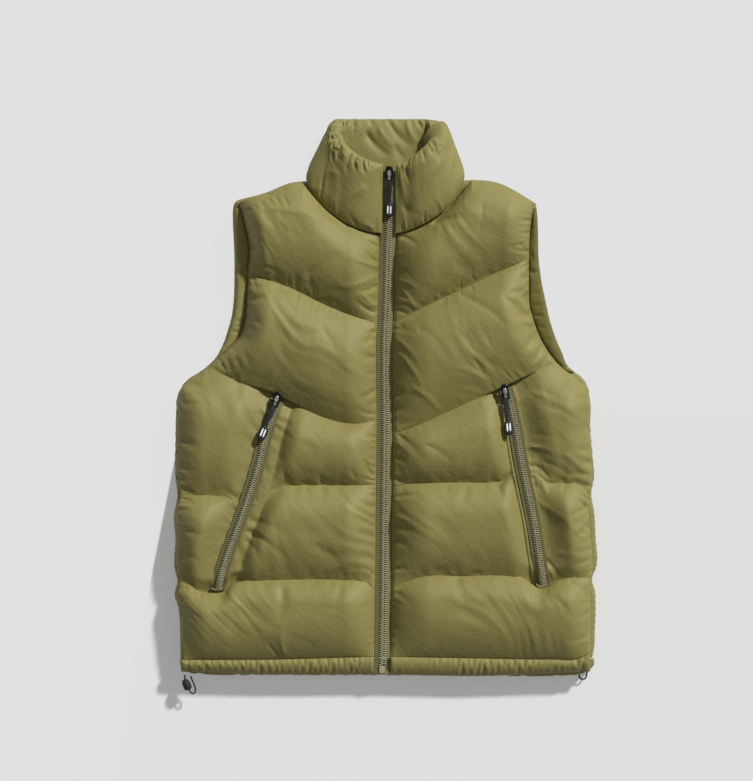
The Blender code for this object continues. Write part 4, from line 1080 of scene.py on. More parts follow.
def front_surface(side):
    """The outer cloth of a front: padding with its creases, and the cloth settled over it."""
    plan, height, bands, shares = front_grid(side)
    out, y = plan[..., 0], plan[..., 1]
    x = side.sign * out
    up_band = np.minimum(shares, 1 - shares)
    creases = CREASES[side.name] + front_gathers(side, x, y)
    height = height + creased(x, y, creases) * ease(up_band * CREASE_ENDS)
    height = height + drawn_folds(x, y, FOLD_SEED + side.sign) * ease(up_band * FOLD_ENDS)
    padding = np.stack([x, y, FRONT_FLOOR + height], axis=-1)
    from_side = np.minimum(out - zip_out(side, y), edge_out(side, y) - out)
    aside = np.abs(out - hermite(POCKET_LINE[side.name], y))
    by_pocket = np.isin(bands, POCKET_BANDS)
    near_seam = np.exp(-up_band * BAND_TALL / PUCKER_REACH)
    near_side = np.exp(-from_side / PUCKER_REACH)
    near_pocket = np.where(by_pocket, np.exp(-np.abs(aside - POCKET_HALF_CHANNEL) / POCKET_REACH), 0)
    above_hem = np.where(bands == 0, np.exp(-shares * HEM_HOLD_FALL), 0)
    firm = np.maximum(near_seam, np.maximum(near_side, near_pocket))
    return settled(
        "front", padding, pins(height.shape, SEAM_ROWS) | ((aside < POCKET_HALF_CHANNEL - 1) & by_pocket),
        near_seam, np.maximum(near_side, POCKET_PUCKERS * near_pocket),
        SOFT_BED + FIRM_BED * firm + HEM_HOLD * above_hem,
        PATCH_SEED + side.sign, CLOTH_SEED + side.sign, side.sign,
    )


STITCH_INSET, STITCH_PROUD = 0.65, 0.35
STITCH_COLUMN = 3


def make_front(side):
    """One padded front with the stitching beside its zip."""
    surface = front_surface(side)
    made = backed_panel(f"shell_front_{side.name}", surface, FRONT_FLOOR, MATERIALS["shell"])
    dress(made, [f"front_{side.name}"])
    edge, inside = surface[:, 0], surface[:, STITCH_COLUMN]
    line = edge * (1 - STITCH_INSET) + inside * STITCH_INSET + np.array([0, 0, STITCH_PROUD])
    make_stitches(f"zip_edge_stitches_{side.name}", [line])
    return surface


HEM_ROWS, HEM_COLUMNS = 14, 150
HEM_ZIP_ROLL, HEM_SIDE_ROLL = 5.0, 8.0
HEM_PATCH_SEED, HEM_SEED = 3, 90


def make_hem_band(side):
    """The narrow cord casing below a front, gathered along its length."""
    low, high = seam_curve(side, "hem_edge"), seam_curve(side, "hem_top")
    rows, across = spread(HEM_ROWS), spread(HEM_COLUMNS, 1.0)
    at = front_patch(side, low, high, across[None, :], rows[:, None])
    at[..., 1] -= 2 * SEAM_GAP * rows[:, None]
    out, y = at[..., 0], at[..., 1]
    ends = roll(out - zip_out(side, y), HEM_ZIP_ROLL) * roll(edge_out(side, y) - out, HEM_SIDE_ROLL)
    level = HEM_BAND_EDGE + (HEM_BAND_SEAM - HEM_BAND_EDGE) * rows
    height = level[:, None] + HEM_BAND_PUFF * lens(rows)[:, None] * ends
    padding = np.stack([side.sign * out, y, FRONT_FLOOR + height], axis=-1)
    surface = settled(
        "hem", padding, pins(height.shape), 1, 1, HEM_BED,
        HEM_PATCH_SEED + side.sign, HEM_SEED + side.sign, side.sign,
    )
    made = backed_panel(f"hem_casing_front_{side.name}", surface, FRONT_FLOOR, MATERIALS["shell"])
    dress(made, [f"hem_front_{side.name}"])


# Back.


BACK_ROWS, BACK_COLUMNS, BACK_EVENNESS = 44, 190, 0.7
BACK_BAND_TALL, BACK_GROOVE_WIDE = 110, 16.0
RIM_STEP = 3
BACK_PATCH_SEED, BACK_SEED = 17, 60
CHEVRON_POWER = 1.3


def chevron(first_x, last_x, middle_y, side_y):
    """A seam of the back, which rises from the middle to both sides."""

    def read(u):
        x = first_x + (last_x - first_x) * np.asarray(u, float)
        half = np.where(x < 0, -first_x, last_x)
        y = middle_y + (side_y - middle_y) * (np.abs(x) / half) ** CHEVRON_POWER
        return np.stack([x, y], axis=-1)

    return read


def back_plan():
    """The back's grid in plan, and each point's share up its band."""
    edges = (lambda y: -hermite(BACK_EDGE["right"], y), lambda y: hermite(BACK_EDGE["left"], y))
    curves = [chevron(*(float(edge(sides)) for edge in edges), middle, sides) for middle, sides in BACK_SEAMS]
    curves.append(lambda u: along(BACK_TOP_EDGE, np.asarray(u, float)))
    rows, across = spread(BACK_ROWS), spread(BACK_COLUMNS, BACK_EVENNESS)
    plan, shares = [], []
    for band, (low, high) in enumerate(zip(curves, curves[1:])):
        keep = slice(min(band, 1), None)
        plan.append(patch(low, high, *edges, across[None, :], rows[:, None])[keep])
        shares.append(np.repeat(rows[:, None], len(across), axis=1)[keep])
    return np.concatenate(plan), np.concatenate(shares)


def back_top(from_rim):
    """Height of the back's upper face, which rounds over at its rim."""
    inset, rise = BACK_ROUND_OVER
    return BACK_TOP - rise * (1 - roll(from_rim, inset))


def make_back():
    """The quilted back: flat where it rests, with grooves along its seams, and puffed round its edges."""
    plan, shares = back_plan()
    rows, cols = plan.shape[:2]
    rim = grid_rim(rows, cols)
    rim_points = plan.reshape(-1, 2)[rim][::RIM_STEP]
    from_rim = np.stack([
        np.min(np.linalg.norm(row[:, None, :] - rim_points[None], axis=-1), axis=-1) for row in plan
    ])
    up_band = np.minimum(shares, 1 - shares) * BACK_BAND_TALL
    inset, rise = BACK_ROUND_UNDER
    groove = BACK_GROOVE * (1 - roll(up_band, BACK_GROOVE_WIDE))
    under_z = rise * (1 - roll(from_rim, inset)) + groove * roll(from_rim, inset)
    under = np.concatenate([plan, np.maximum(under_z, 0)[..., None]], axis=-1)
    over = np.concatenate([plan, back_top(from_rim)[..., None]], axis=-1)
    near_seam, near_side = np.exp(-up_band / PUCKER_REACH), np.exp(-from_rim / PUCKER_REACH)
    under = settled(
        "back", under, pins((rows, cols), range(0, rows, BACK_ROWS)), near_seam, near_side,
        SOFT_BED + FIRM_BED * np.maximum(near_seam, near_side), BACK_PATCH_SEED, BACK_SEED, -1, 0.0,
    )
    shared = set(rim)
    inner = [i for i in range(rows * cols) if i not in shared]
    remap = np.arange(rows * cols)
    remap[inner] = rows * cols + np.arange(len(inner))
    verts = to_frame(np.concatenate([under.reshape(-1, 3), over.reshape(-1, 3)[inner]]))
    faces = grid_faces(rows, cols, flip=True)
    faces += [tuple(int(remap[i]) for i in face) for face in grid_faces(rows, cols)]
    made = outwards(new_object("shell_back", verts, faces, MATERIALS["shell"], SHARP_ROUND))
    dress(made, ["back"])


# The left zip tape takes the paler tape cloth: painted light on the side that faces the light.
CAD_FINISHES = {
    "zip_tape_right": "tape", "zip_tape_left": "painted_light_tape", "pocket_tape_right": "tape",
    "pocket_tape_left": "tape", "zip_box": "teeth",
}


def finish_cad_nodes():
    """Finishes for the parts that are carried over as they are."""
    for name, finish in CAD_FINISHES.items():
        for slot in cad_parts[name].material_slots:
            slot.material = MATERIALS[finish]


# Armhole facings and the back's hem.

FACING_LOW, FACING_HIGH = 34.0, 256.0
FACING_THICK = {"right": 2.6, "left": 3.2}
FACING_LUMPS = {"right": 0.15, "left": 0.8}
FACING_STEP = 1.8
FACING_COLUMNS = 13
FACING_GAP, FACING_INSET, FACING_NARROWEST = 0.6, 0.4, 3.0
FACING_LUMP_SIZE, FACING_LUMP_SEED = 16.0, 21
FACING_DIP, FACING_DIP_WIDE = 0.7, 5.0
FACING_RIM, FACING_REST = 0.8, 0.3
FACING_PATCH_SEED, FACING_SEED = 51, 70


def make_armhole_facing(side):
    """The rolled strip of the back's inside that shows round an armhole, beside the front's edge."""
    y = np.arange(FACING_LOW, FACING_HIGH, FACING_STEP)
    inner = edge_out(side, y) + FACING_GAP
    outer = np.maximum(hermite(BACK_EDGE[side.name], y) - FACING_INSET, inner + FACING_NARROWEST)
    across, width = spread(FACING_COLUMNS), (outer - inner)[:, None]
    out = inner[:, None] + width * across
    lumps = uneven(out, y[:, None], FACING_LUMP_SIZE, FACING_LUMP_SEED + side.sign)
    dips = [1 - FACING_DIP * np.exp(-(((y - seam) / FACING_DIP_WIDE) ** 2)) for _, seam in BACK_SEAMS]
    thick = FACING_THICK[side.name] * arch(across, 2.0)[None, :] * (1 + FACING_LUMPS[side.name] * lumps)
    rest = back_top((1 - across) * width)
    z = rest + (FACING_RIM + thick * np.prod(dips, axis=0)[:, None])
    padding = np.stack([side.sign * out, np.repeat(y[:, None], len(across), axis=1), z], axis=-1)
    surface = settled(
        "facing", padding, pins(z.shape), 1, 1, FACING_BED,
        FACING_PATCH_SEED, FACING_SEED + side.sign, side.sign,
    )
    inner_face = surface.copy()
    inner_face[..., 2] = rest + FACING_REST
    rows, cols = z.shape
    rim = grid_rim(rows, cols)
    verts = to_frame(np.concatenate([surface.reshape(-1, 3), inner_face.reshape(-1, 3)]))
    faces = grid_faces(rows, cols) + grid_faces(rows, cols, start=rows * cols, flip=True)
    for one, other in zip(rim, rim[1:] + rim[:1]):
        faces.append((one, other, other + rows * cols, one + rows * cols))
    # The right strip takes the lightened nylon (painted light) and the left one the darkened nylon (painted
    # shade).
    finish = MATERIALS[f"facing_{side.name}"]
    made = outwards(new_object(f"armhole_roll_{side.name}", verts, faces, finish, SHARP_CLOTH))
    dress(made, [f"armhole_facing_{side.name}"])


HEM_BACK_LOWER = (  # x, y of the lower edge of the back's hem, from the right side to the left
    (-277.5, -362), (-275, -369), (-266, -373), (-252, -374.5), (-153, -376), (0, -376.5), (119, -377),
    (248, -376.5), (262, -375.5), (274, -370.5), (282, -363),
)
HEM_BACK_UPPER = -353.8
HEM_BACK_LEVELS = (14.4, 26.8)
HEM_BACK_RINGS, HEM_BACK_SIDES = 190, 22
HEM_BACK_SQUARE = (0.55, 0.7)
HEM_GATHERS = ((0.10, 0, 4.6, 5), (0.07, 9, 9.0, 6))  # rise, row, size and seed
HEM_GATHER_MOST = 1.02


def make_hem_back():
    """The cord casing along the back's lower edge, gathered along its length."""
    x = np.linspace(HEM_BACK_LOWER[0][0], HEM_BACK_LOWER[-1][0], HEM_BACK_RINGS)
    share_y, share_z = box_turn(HEM_BACK_SIDES, *HEM_BACK_SQUARE)
    low_z, high_z = HEM_BACK_LEVELS
    rings = []
    for at, edge in zip(x, hermite(HEM_BACK_LOWER, x)):
        gather = 1 + sum(rise * float(uneven(at, row, size, seed)) for rise, row, size, seed in HEM_GATHERS)
        half_y = (HEM_BACK_UPPER - edge) / 2
        outer = np.where(share_y < 0, min(gather, HEM_GATHER_MOST), 1)
        y = (HEM_BACK_UPPER + edge) / 2 + half_y * share_y * outer
        z = (low_z + high_z) / 2 + (high_z - low_z) / 2 * share_z * min(gather, 1.0)
        rings.append(np.column_stack([np.full(HEM_BACK_SIDES, at), y, z]))
    made = loft("hem_casing_back", rings, MATERIALS["shell"], sharp=SHARP_CLOTH)
    dress(made, ["hem_back"])


# Zips.

COIL_PITCH = 3.0
COIL_RADIUS = 0.72
MAIN_CHAIN = (-362.0, 287.5)
MAIN_COIL_HALF = 5.4
POCKET_COIL_HALF = 4.7
COIL_FIRST = 0.4
COIL_FOOT, COIL_HEAD = (-0.55, 0.0), (0.9, 0.75, 0.25)  # where a loop starts, and where it ends
COIL_SIZES = ((0, 0.45), (0.1, 0.95), (0.45, 1.0), (0.85, 1.15), (1.0, 0.6))  # share of its run, size
COIL_SIDES = 7
COIL_TALL = np.array([0, 0, 1.25])
UP = np.array([0, 0, 1.0])


def coil_loop(reach, sign):
    """One slanted loop of a zip's coil, from its tape side to just past the middle."""
    start = np.array([sign * reach, *COIL_FOOT])
    run = np.array([-sign * COIL_HEAD[0], *COIL_HEAD[1:]]) - start
    aside = np.cross(run, UP)
    aside /= np.linalg.norm(aside)
    across, up = (part[:, None] for part in box_turn(COIL_SIDES))
    ring = across * aside + up * COIL_TALL
    return np.array([start + run * share + COIL_RADIUS * size * ring for share, size in COIL_SIZES])


def chain_places(line, pitch, shift):
    """Origins and axes (across, along, up) at even steps along a line."""
    length = run_length(line)
    at = np.arange(shift, length[-1] - pitch / 2, pitch)
    centres, ahead, behind = (
        np.column_stack([np.interp(at + step, length, line[:, i]) for i in range(3)]) for step in (0, 1, -1)
    )
    run = ahead - behind
    run /= np.linalg.norm(run, axis=1)[:, None]
    across = np.cross(run, UP)
    across /= np.linalg.norm(across, axis=1)[:, None]
    up = np.cross(across, run)
    return [(centre, (a, r, u)) for centre, a, r, u in zip(centres, across, run, up)]


def make_coil(name, line, half, replaced):
    """A zip's teeth: loops from both tapes by turns."""
    rows = []
    for sign, shift in ((-1, 0), (1, COIL_PITCH / 2)):
        places = chain_places(line, COIL_PITCH, COIL_FIRST + shift)
        rows.append(repeated(name, coil_loop(half, sign), places, MATERIALS["teeth"]))
    dress(joined(rows, name), replaced)


MAIN_COIL_POINTS = 200
MAIN_COIL_RISE = 0.3
POCKET_COIL_RISE = np.array([0, 0, 3.2])


def make_main_zip():
    """The teeth of the main zip, which stand on its tapes."""
    y = np.linspace(*MAIN_CHAIN, MAIN_COIL_POINTS)
    z = hermite(ZIP_RISE, y) + ZIP_TAPE_THICK + MAIN_COIL_RISE
    make_coil("zip_coil_main", np.column_stack([hermite(ZIP_LINE, y), y, z]), MAIN_COIL_HALF, ["zip_chain"])


def make_pocket_zip(side, surface):
    """The teeth of a pocket zip, along the middle of its channel in the front's surface."""
    middle = INNER_COLUMNS + len(CHANNEL_OFFSETS) // 2
    line = surface[POCKET_ROWS[0] + 2 : POCKET_ROWS[1] - 2, middle] + POCKET_COIL_RISE
    make_coil(f"zip_coil_pocket_{side.name}", line, POCKET_COIL_HALF, [f"pocket_chain_{side.name}"])


# Sliders and pulls, in a frame with +Y along the zip towards its closed end and +Z out of the cloth.

Hinge = namedtuple("Hinge", "x y z heading pitch pull_heading pull_pitch slider pull")
HINGES = (
    Hinge(4.9, 297.5, 54.0, 0.0, 10.5, 0.0, 12.0, "zip_slider", "main_pull"),
    Hinge(-147.5, -5.5, 51.8, -17.0, 0.0, -22.0, -1.5, "pocket_slider_right", "pocket_pull_right"),
    Hinge(161.5, 5.0, 51.8, 11.0, 0.0, 5.0, -3.5, "pocket_slider_left", "pocket_pull_left"),
)
HINGE_UP = 1.9
SLIDER_THICK = 3.2
GRIP_CENTRE = -46.6
SLIDER_OUTLINE = (  # y, half width: two shoulders at the open end, and a narrow closed end
    (-9.0, 3.4), (-6.0, 4.4), (-2.0, 5.1), (2.0, 5.4), (5.5, 5.3), (9.0, 4.9), (11.5, 4.0), (12.5, 2.8),
)
SLIDER_SIDES, SLIDER_SQUARE = 20, (0.45, 0.55)
SLIDER_NARROW, SLIDER_THIN = 3.5, 0.8
BAIL_RINGS, BAIL_LONG, BAIL_TALL, BAIL_FOOT = 15, 2.4, 3.9, 0.1
BAIL_CORNERS = ((-1.3, -0.5), (1.3, -0.5), (1.3, 0.5), (-1.3, 0.5))


def zip_frame(origin, heading, pitch):
    """Frame at a hinge: heading turns it in plan, and pitch raises its +Y end."""
    turn = Matrix.Rotation(math.radians(heading), 4, "Z") @ Matrix.Rotation(math.radians(pitch), 4, "X")
    return Matrix.Translation(origin) @ turn


def slider_body():
    """Rings of a slider along the zip."""
    across, up = box_turn(SLIDER_SIDES, *SLIDER_SQUARE)
    rings = []
    for y, half in SLIDER_OUTLINE:
        thick = SLIDER_THICK / 2 * up * (SLIDER_THIN if half < SLIDER_NARROW else 1.0)
        z = thick - HINGE_UP - SLIDER_THICK / 2
        rings.append(np.column_stack([half * across, np.full(SLIDER_SIDES, y), z]))
    return rings


def arched_bail():
    """Rings of the bail: a flat bow over the pull's bar."""
    rings = []
    for turn in np.linspace(0, math.pi, BAIL_RINGS):
        away = np.array([0.0, -math.cos(turn), math.sin(turn)])
        centre = away * [0, BAIL_LONG, BAIL_TALL] + [0, 0, BAIL_FOOT - HINGE_UP]
        rings.append([centre + np.array([x, 0, 0]) + away * d for x, d in BAIL_CORNERS])
    return rings


CROWN = (2.9, 7.0, 0.7), (0, 0.4, -HINGE_UP + 0.35)  # half sizes and middle


def make_slider(hinge):
    """A slider with a bright crown and its bail."""
    matrix = zip_frame((hinge.x, hinge.y, hinge.z), hinge.heading, hinge.pitch)
    sizes, middle = CROWN
    body = loft(f"{hinge.slider}_shell", slider_body(), MATERIALS["metal"], matrix, SHARP_SLIDER)
    crown = loft("crown", pebble(*sizes, middle), MATERIALS["steel"], matrix)
    bail = loft("bail", arched_bail(), MATERIALS["steel"], matrix, SHARP_SMALL)
    made = joined([body, crown, bail], f"{hinge.slider}_shell")
    dress(made, [hinge.slider, f"{hinge.slider}_bail"])


LINK = {"half_wide": 3.1, "half_long": 4.6, "thick": 0.85, "centre_y": -3.9}
LINK_SIDES, LINK_RINGS, LINK_POWER = 8, 30, 2.4
NECK_HALF_WIDE, NECK_HALF_THICK = 3.1, 1.15
NECK_STATIONS = (  # y, share of the width
    (-7.6, 0.8), (-8.6, 1.15), (-12.0, 1.25), (-22.0, 1.2), (-27.0, 0.85), (-33.0, 0.85), (-37.5, 1.0),
)
GRIP_SIZES, GRIP_POWER, GRIP_LEVELS = (5.7, 10.2, 2.1), 2.8, 9
BAR_SIZES, BAR_POWER, BAR_LEVELS = (1.15, 5.6, 0.45), 3.2, 5
BAR_MIDDLES = ((-1.9, -1.95), (-1.9, 1.95), (1.9, -1.95), (1.9, 1.95))  # x, z
BAR_UP = 0.6


def ring_link(half_wide, half_long, thick, centre_y):
    """Rings round a rounded link, the last of which lies on the first."""
    outline = superellipse(half_wide, half_long, LINK_RINGS, LINK_POWER)
    across, up = (part[:, None] for part in box_turn(LINK_SIDES))
    rings = []
    for i in range(LINK_RINGS + 1):
        x, y = outline[i % LINK_RINGS]
        run_x, run_y = outline[(i + 1) % LINK_RINGS] - outline[i - 1]
        out = np.array([run_y, -run_x, 0.0]) / math.hypot(run_x, run_y)
        rings.append(np.array([x, y + centre_y, 0.0]) + thick * (across * out + up * UP))
    return rings


def make_pull(hinge):
    """A pull: a link round the bail, a flat neck, and a moulded grip with two pale bars on each face."""
    matrix = zip_frame((hinge.x, hinge.y, hinge.z), hinge.pull_heading, hinge.pull_pitch)
    neck = bar_rings(NECK_STATIONS, NECK_HALF_WIDE, NECK_HALF_THICK)
    grip = pebble(*GRIP_SIZES, (0, GRIP_CENTRE, 0), GRIP_POWER, GRIP_LEVELS)
    parts = [
        loft("link", ring_link(**LINK), MATERIALS["metal"], matrix, SHARP_CLOTH),
        loft("neck", neck, MATERIALS["grip"], matrix),
        loft("grip", grip, MATERIALS["grip"], matrix),
    ]
    for x, z in BAR_MIDDLES:
        bar = pebble(*BAR_SIZES, (x, GRIP_CENTRE + BAR_UP, z), BAR_POWER, BAR_LEVELS)
        parts.append(loft("bar", bar, MATERIALS["white"], matrix))
    made = joined(parts, f"{hinge.pull}_shell")
    dress(made, [f"{hinge.pull}_tab", f"{hinge.pull}_grip"], body=hinge.pull)


# Collar.


COLLAR_FOLDS = tuple(Crease(*row) for row in (  # mm round the collar, mm up its outside and down its inside
    (62, 92, 68, 68, 3.5, -4.0), (70, 94, 76, 64, 3.0, -4.6), (77, 97, 80, 74, 2.6, 3.4),
    (82, 96, 88, 70, 3.0, -5.0), (92, 98, 90, 76, 2.6, -4.6), (98, 97, 104, 66, 3.5, -4.6),
    (104, 98, 102, 82, 2.6, 3.0), (109, 95, 108, 76, 3.0, -4.0), (70, 92, 92, 86, 2.6, -3.0),
    (84, 84, 104, 88, 2.6, -3.0), (78, 90, 94, 98, 2.6, 2.6), (74, 95, 70, 112, 3.0, -4.0),
    (84, 96, 80, 116, 3.0, -4.2), (95, 96, 97, 118, 3.5, -4.4), (104, 94, 108, 112, 3.0, -3.6),
    (44, 94, 50, 66, 3.5, -3.8), (37, 95, 38, 72, 3.0, -3.4), (52, 94, 56, 76, 3.0, 2.8),
    (27, 94, 25, 74, 3.0, -2.6), (31, 95, 33, 80, 2.6, 2.4), (58, 96, 60, 80, 2.8, -3.0),
    (20, 95, 18, 82, 2.6, -2.4), (20, 60, 52, 22, 8.0, 2.6), (60, 60, 100, 20, 9.0, 2.2),
    (34, 0, 46, 18, 5.0, -2.2), (12, 6, 30, 10, 5.0, 2.4), (126, 92, 132, 150, 6.0, -4.4),
    (134, 94, 136, 112, 3.0, -3.0), (152, 93, 153, 108, 3.0, -3.4), (172, 110, 212, 150, 5.5, -5.4),
    (190, 104, 226, 142, 6.0, 2.4), (206, 95, 240, 134, 5.0, -3.6), (216, 130, 228, 154, 5.0, -3.0),
    (236, 94, 248, 130, 6.0, 2.8), (256, 94, 262, 110, 4.0, -3.4), (269, 95, 272, 152, 4.5, -3.8),
    (279, 92, 284, 122, 4.0, 2.6), (290, 95, 293, 116, 4.5, -3.4), (300, 90, 304, 108, 3.5, -3.0),
    (354, 98, 346, 74, 3.5, -4.0), (346, 96, 336, 60, 4.0, -2.6), (364, 96, 360, 76, 3.0, -2.8),
    (340, 98, 330, 80, 4.0, 2.4), (392, 94, 384, 60, 4.0, -3.4), (400, 92, 390, 40, 6.0, 2.4),
    (330, 70, 390, 24, 12.0, 3.0), (300, 60, 350, 12, 10.0, 2.2), (398, 40, 372, 14, 6.0, -2.0),
))


CRUMPLES = (  # mm round the collar, mm up it, reach round, reach up, size of the facets, rise
    (84, 84, 26, 16, 8.0, 2.6), (30, 86, 14, 10, 7.0, 1.8), (292, 94, 14, 12, 8.0, 1.8),
    (398, 88, 10, 12, 8.0, 1.8), (345, 88, 18, 10, 8.0, 1.2),
)
CRUMPLE_SEED = 15
CRUMPLE_STRETCH = (1.3, 0.8)
CRUMPLE_SHARP, CRUMPLE_DEEPEST = 3.0, 1.6


def crumpled(x, y):
    """Height of sharp little folds that meet at angles, in patches that fade out."""
    total = np.zeros(np.broadcast(x, y).shape)
    for middle_x, middle_y, reach_x, reach_y, size, rise in CRUMPLES:
        near = np.exp(-(((x - middle_x) / reach_x) ** 2) - ((y - middle_y) / reach_y) ** 2)
        facets = np.abs(uneven(x * CRUMPLE_STRETCH[0], y * CRUMPLE_STRETCH[1], size, CRUMPLE_SEED))
        total += rise * near * (1 - np.minimum(CRUMPLE_SHARP * facets, CRUMPLE_DEEPEST))
    return total


RIM_GATHERS = {"gap": (6, 24), "length": (7, 24), "rise": (0.5, 1.5), "lean": 0.8}
COLLAR_GATHER_SEED, COLLAR_LINE_POINTS = 500, 200


def collar_creases(around, tall):
    """The collar's listed folds, and small gathers along its rim and its seam."""
    x, small = np.linspace(0, around, COLLAR_LINE_POINTS), []
    low, rim, high = (np.column_stack([x, np.full(COLLAR_LINE_POINTS, at)]) for at in (0.0, tall, 2 * tall))
    for number, (line, inwards, kind) in enumerate((
        (rim, 1, RIM_GATHERS), (rim, -1, RIM_GATHERS), (low, 1, {}), (high, -1, {}),
    )):
        small += gathers(line, inwards, COLLAR_GATHER_SEED + number, **kind)
    return COLLAR_FOLDS + tuple(small)


COLLAR_BUNCHED, COLLAR_UP_EVENNESS = 0.25, 0.35
COLLAR_BASE_ROLL, COLLAR_RIM_ROLL = 26.0, 1.5
COLLAR_FREE = 8
COLLAR_LOWEST = 0.3
COLLAR_TALL = 85
BASE_REACH, RIM_REACH = 12.0, 15.0
BASE_PUCKERS, RIM_PUCKERS = 0.06, 0.11
COLLAR_PATCH_SEED, COLLAR_SEED = 31, 8


def collar_loop(up, station):
    """The collar's padding from its seam up the outside and down the inside, and which way it faces."""
    rows = np.array(COLLAR_STATIONS, float)
    found = hermite(np.column_stack([np.arange(len(rows)), rows]), station)
    base, rim, pad = found[:, 0:3], found[:, 3:6], found[:, 6]
    middle = base[None] + (rim - base)[None] * up[:, None, None]
    normal = np.cross(np.gradient(middle, axis=0), np.gradient(middle, axis=1))
    normal /= np.linalg.norm(normal, axis=2)[..., None]
    height = np.linalg.norm(rim - base, axis=1)
    half = COLLAR_SEAM_HALF + (pad[None, :] - COLLAR_SEAM_HALF) * roll(up[:, None] * height, COLLAR_BASE_ROLL)
    half = half * roll((1 - up)[:, None] * height, pad[None, :] * COLLAR_RIM_ROLL)
    outer = middle + normal * half[..., None]
    inner = middle - normal * half[..., None] * hermite(COLLAR_INSIDE, station)[None, :, None]
    loop, facing = np.concatenate([outer, inner[-2::-1]]), np.concatenate([normal, -normal[-2::-1]])
    return loop, facing, run_length(middle[COLLAR_UP // 2]), float(height.mean())


def make_collar():
    """The padded stand-up collar, open at the neck and split at the zip."""
    around = np.linspace(0, 1, COLLAR_AROUND + 1) * (1 - COLLAR_BUNCHED)
    around += spread(COLLAR_AROUND, 0.0) * COLLAR_BUNCHED
    up = spread(COLLAR_UP, COLLAR_UP_EVENNESS)
    loop, facing, reach, tall = collar_loop(up, around * (len(COLLAR_STATIONS) - 1))
    count, cols = loop.shape[:2]
    x = np.repeat(reach[None, :], count, axis=0)
    y = np.repeat(np.concatenate([up, 2 - up[-2::-1]])[:, None] * tall, cols, axis=1)
    free = np.prod([ease(gap / COLLAR_FREE) for gap in (y, 2 * tall - y, x, reach[-1] - x)], axis=0)
    folds = creased(x, y, collar_creases(reach[-1], tall)) + crumpled(x, y)
    loop = loop + facing * (folds * free)[..., None]
    loop[..., 2] = np.maximum(loop[..., 2], COLLAR_LOWEST)
    level = np.concatenate([up, up[-2::-1]])[:, None]
    near_base = np.exp(-level * COLLAR_TALL / BASE_REACH)
    near_rim = np.exp(-(1 - level) * COLLAR_TALL / RIM_REACH)
    loop = settled(
        "collar", loop, pins((count, cols)), BASE_PUCKERS * near_base + RIM_PUCKERS * near_rim, 1,
        SOFT_BED + FIRM_BED * np.maximum(near_base, near_rim),
        COLLAR_PATCH_SEED, COLLAR_SEED, -1, COLLAR_LOWEST,
    )
    verts = to_frame(loop.reshape(-1, 3))
    faces = grid_faces(count, cols)
    first, last = range(cols), range((count - 1) * cols, count * cols)
    for c in range(cols - 1):
        faces.append((first[c], last[c], last[c + 1], first[c + 1]))
    faces.append(tuple(range(0, count * cols, cols)))
    faces.append(tuple(range(cols - 1, count * cols, cols))[::-1])
    made = outwards(new_object("shell_collar", verts, faces, MATERIALS["shell"], SHARP_ROUND))
    dress(made, ["collar"])


# Hem cords.

CORD_DIAMETER = 0.0022
CORD_ROUTES = {  # x, y, z from the hem, through the lock, round and back to the hem
    "right": (
        (-271.5, -375.8, 24.0), (-271.6, -379.0, 24.0), (-270.8, -384.0, 23.6), (-269.0, -389.0, 23.0),
        (-266.6, -394.0, 22.2), (-264.4, -398.6, 21.4), (-261.6, -401.4, 21.0), (-258.4, -400.4, 21.0),
        (-257.2, -396.6, 21.2), (-258.0, -391.4, 22.0), (-260.2, -385.8, 23.0), (-262.4, -380.4, 24.0),
        (-263.4, -377.4, 24.0),
    ),
    "left": (
        (263.6, -374.4, 9.0), (262.6, -378.0, 8.6), (264.4, -381.8, 8.0), (268.0, -383.2, 7.4),
        (271.4, -381.4, 7.0), (273.0, -377.4, 6.6), (273.8, -371.0, 6.4), (274.4, -364.0, 6.4),
        (274.6, -357.0, 6.4), (272.6, -351.6, 6.8),
    ),
}
CORD_STEP = 1.6


def make_cord(side):
    """A limp elastic cord that loops out of the hem, through its lock and back in."""
    route = np.array(CORD_ROUTES[side.name], float)
    points = to_frame(along(route, np.linspace(0, 1, int(run_length(route)[-1] / CORD_STEP))))
    name = f"elastic_cord_{side.name}"
    curve = bpy.data.curves.new(name, "CURVE")
    curve.dimensions = "3D"
    spline = curve.splines.new("POLY")
    spline.points.add(len(points) - 1)
    for point, at in zip(spline.points, points):
        point.co = (*at, 1.0)
    curve.bevel_depth = CORD_DIAMETER / 2
    curve.bevel_resolution = 3
    curve.use_fill_caps = True
    curve.materials.append(MATERIALS["cord"])
    made = dress(in_scene(name, curve), [f"hem_cord_{side.name}"])
    make_cord_lock(side)


LOCK_AT = {"right": 3, "left": 7}
LOCK_HALF_LONG = 7.2
LOCK_BORE = 1.5
LOCK_PROFILE = (  # radius, share of the half length: bore, rim, barrel, waist, button
    (LOCK_BORE, -1.0), (3.2, -1.0), (3.9, -0.93), (4.1, -0.82), (4.1, -0.62), (4.5, -0.58), (5.2, -0.5),
    (5.55, -0.3), (5.6, 0.1), (5.5, 0.5), (5.1, 0.8), (4.4, 0.95), (3.4, 1.0), (LOCK_BORE, 1.0),
)
LOCK_SIDES = 24


def make_cord_lock(side):
    """A spring lock threaded on the hem cord: a barrel with a button that stands out of one end."""
    route = [Vector(point) for point in CORD_ROUTES[side.name]]
    at = LOCK_AT[side.name]
    axis = (route[at + 1] - route[at - 1]).normalized()
    matrix = Matrix.Translation(route[at]) @ axis.to_track_quat("Z", "Y").to_matrix().to_4x4()
    rings = []
    for i in range(LOCK_SIDES + 1):
        a = 2 * math.pi * i / LOCK_SIDES
        rings.append([(r * math.cos(a), r * math.sin(a), at_z * LOCK_HALF_LONG) for r, at_z in LOCK_PROFILE])
    made = loft(f"cord_lock_barrel_{side.name}", rings, MATERIALS["grip"], matrix, SHARP_SLIDER)
    return dress(made, [f"cord_lock_{side.name}"])


# Stitching.

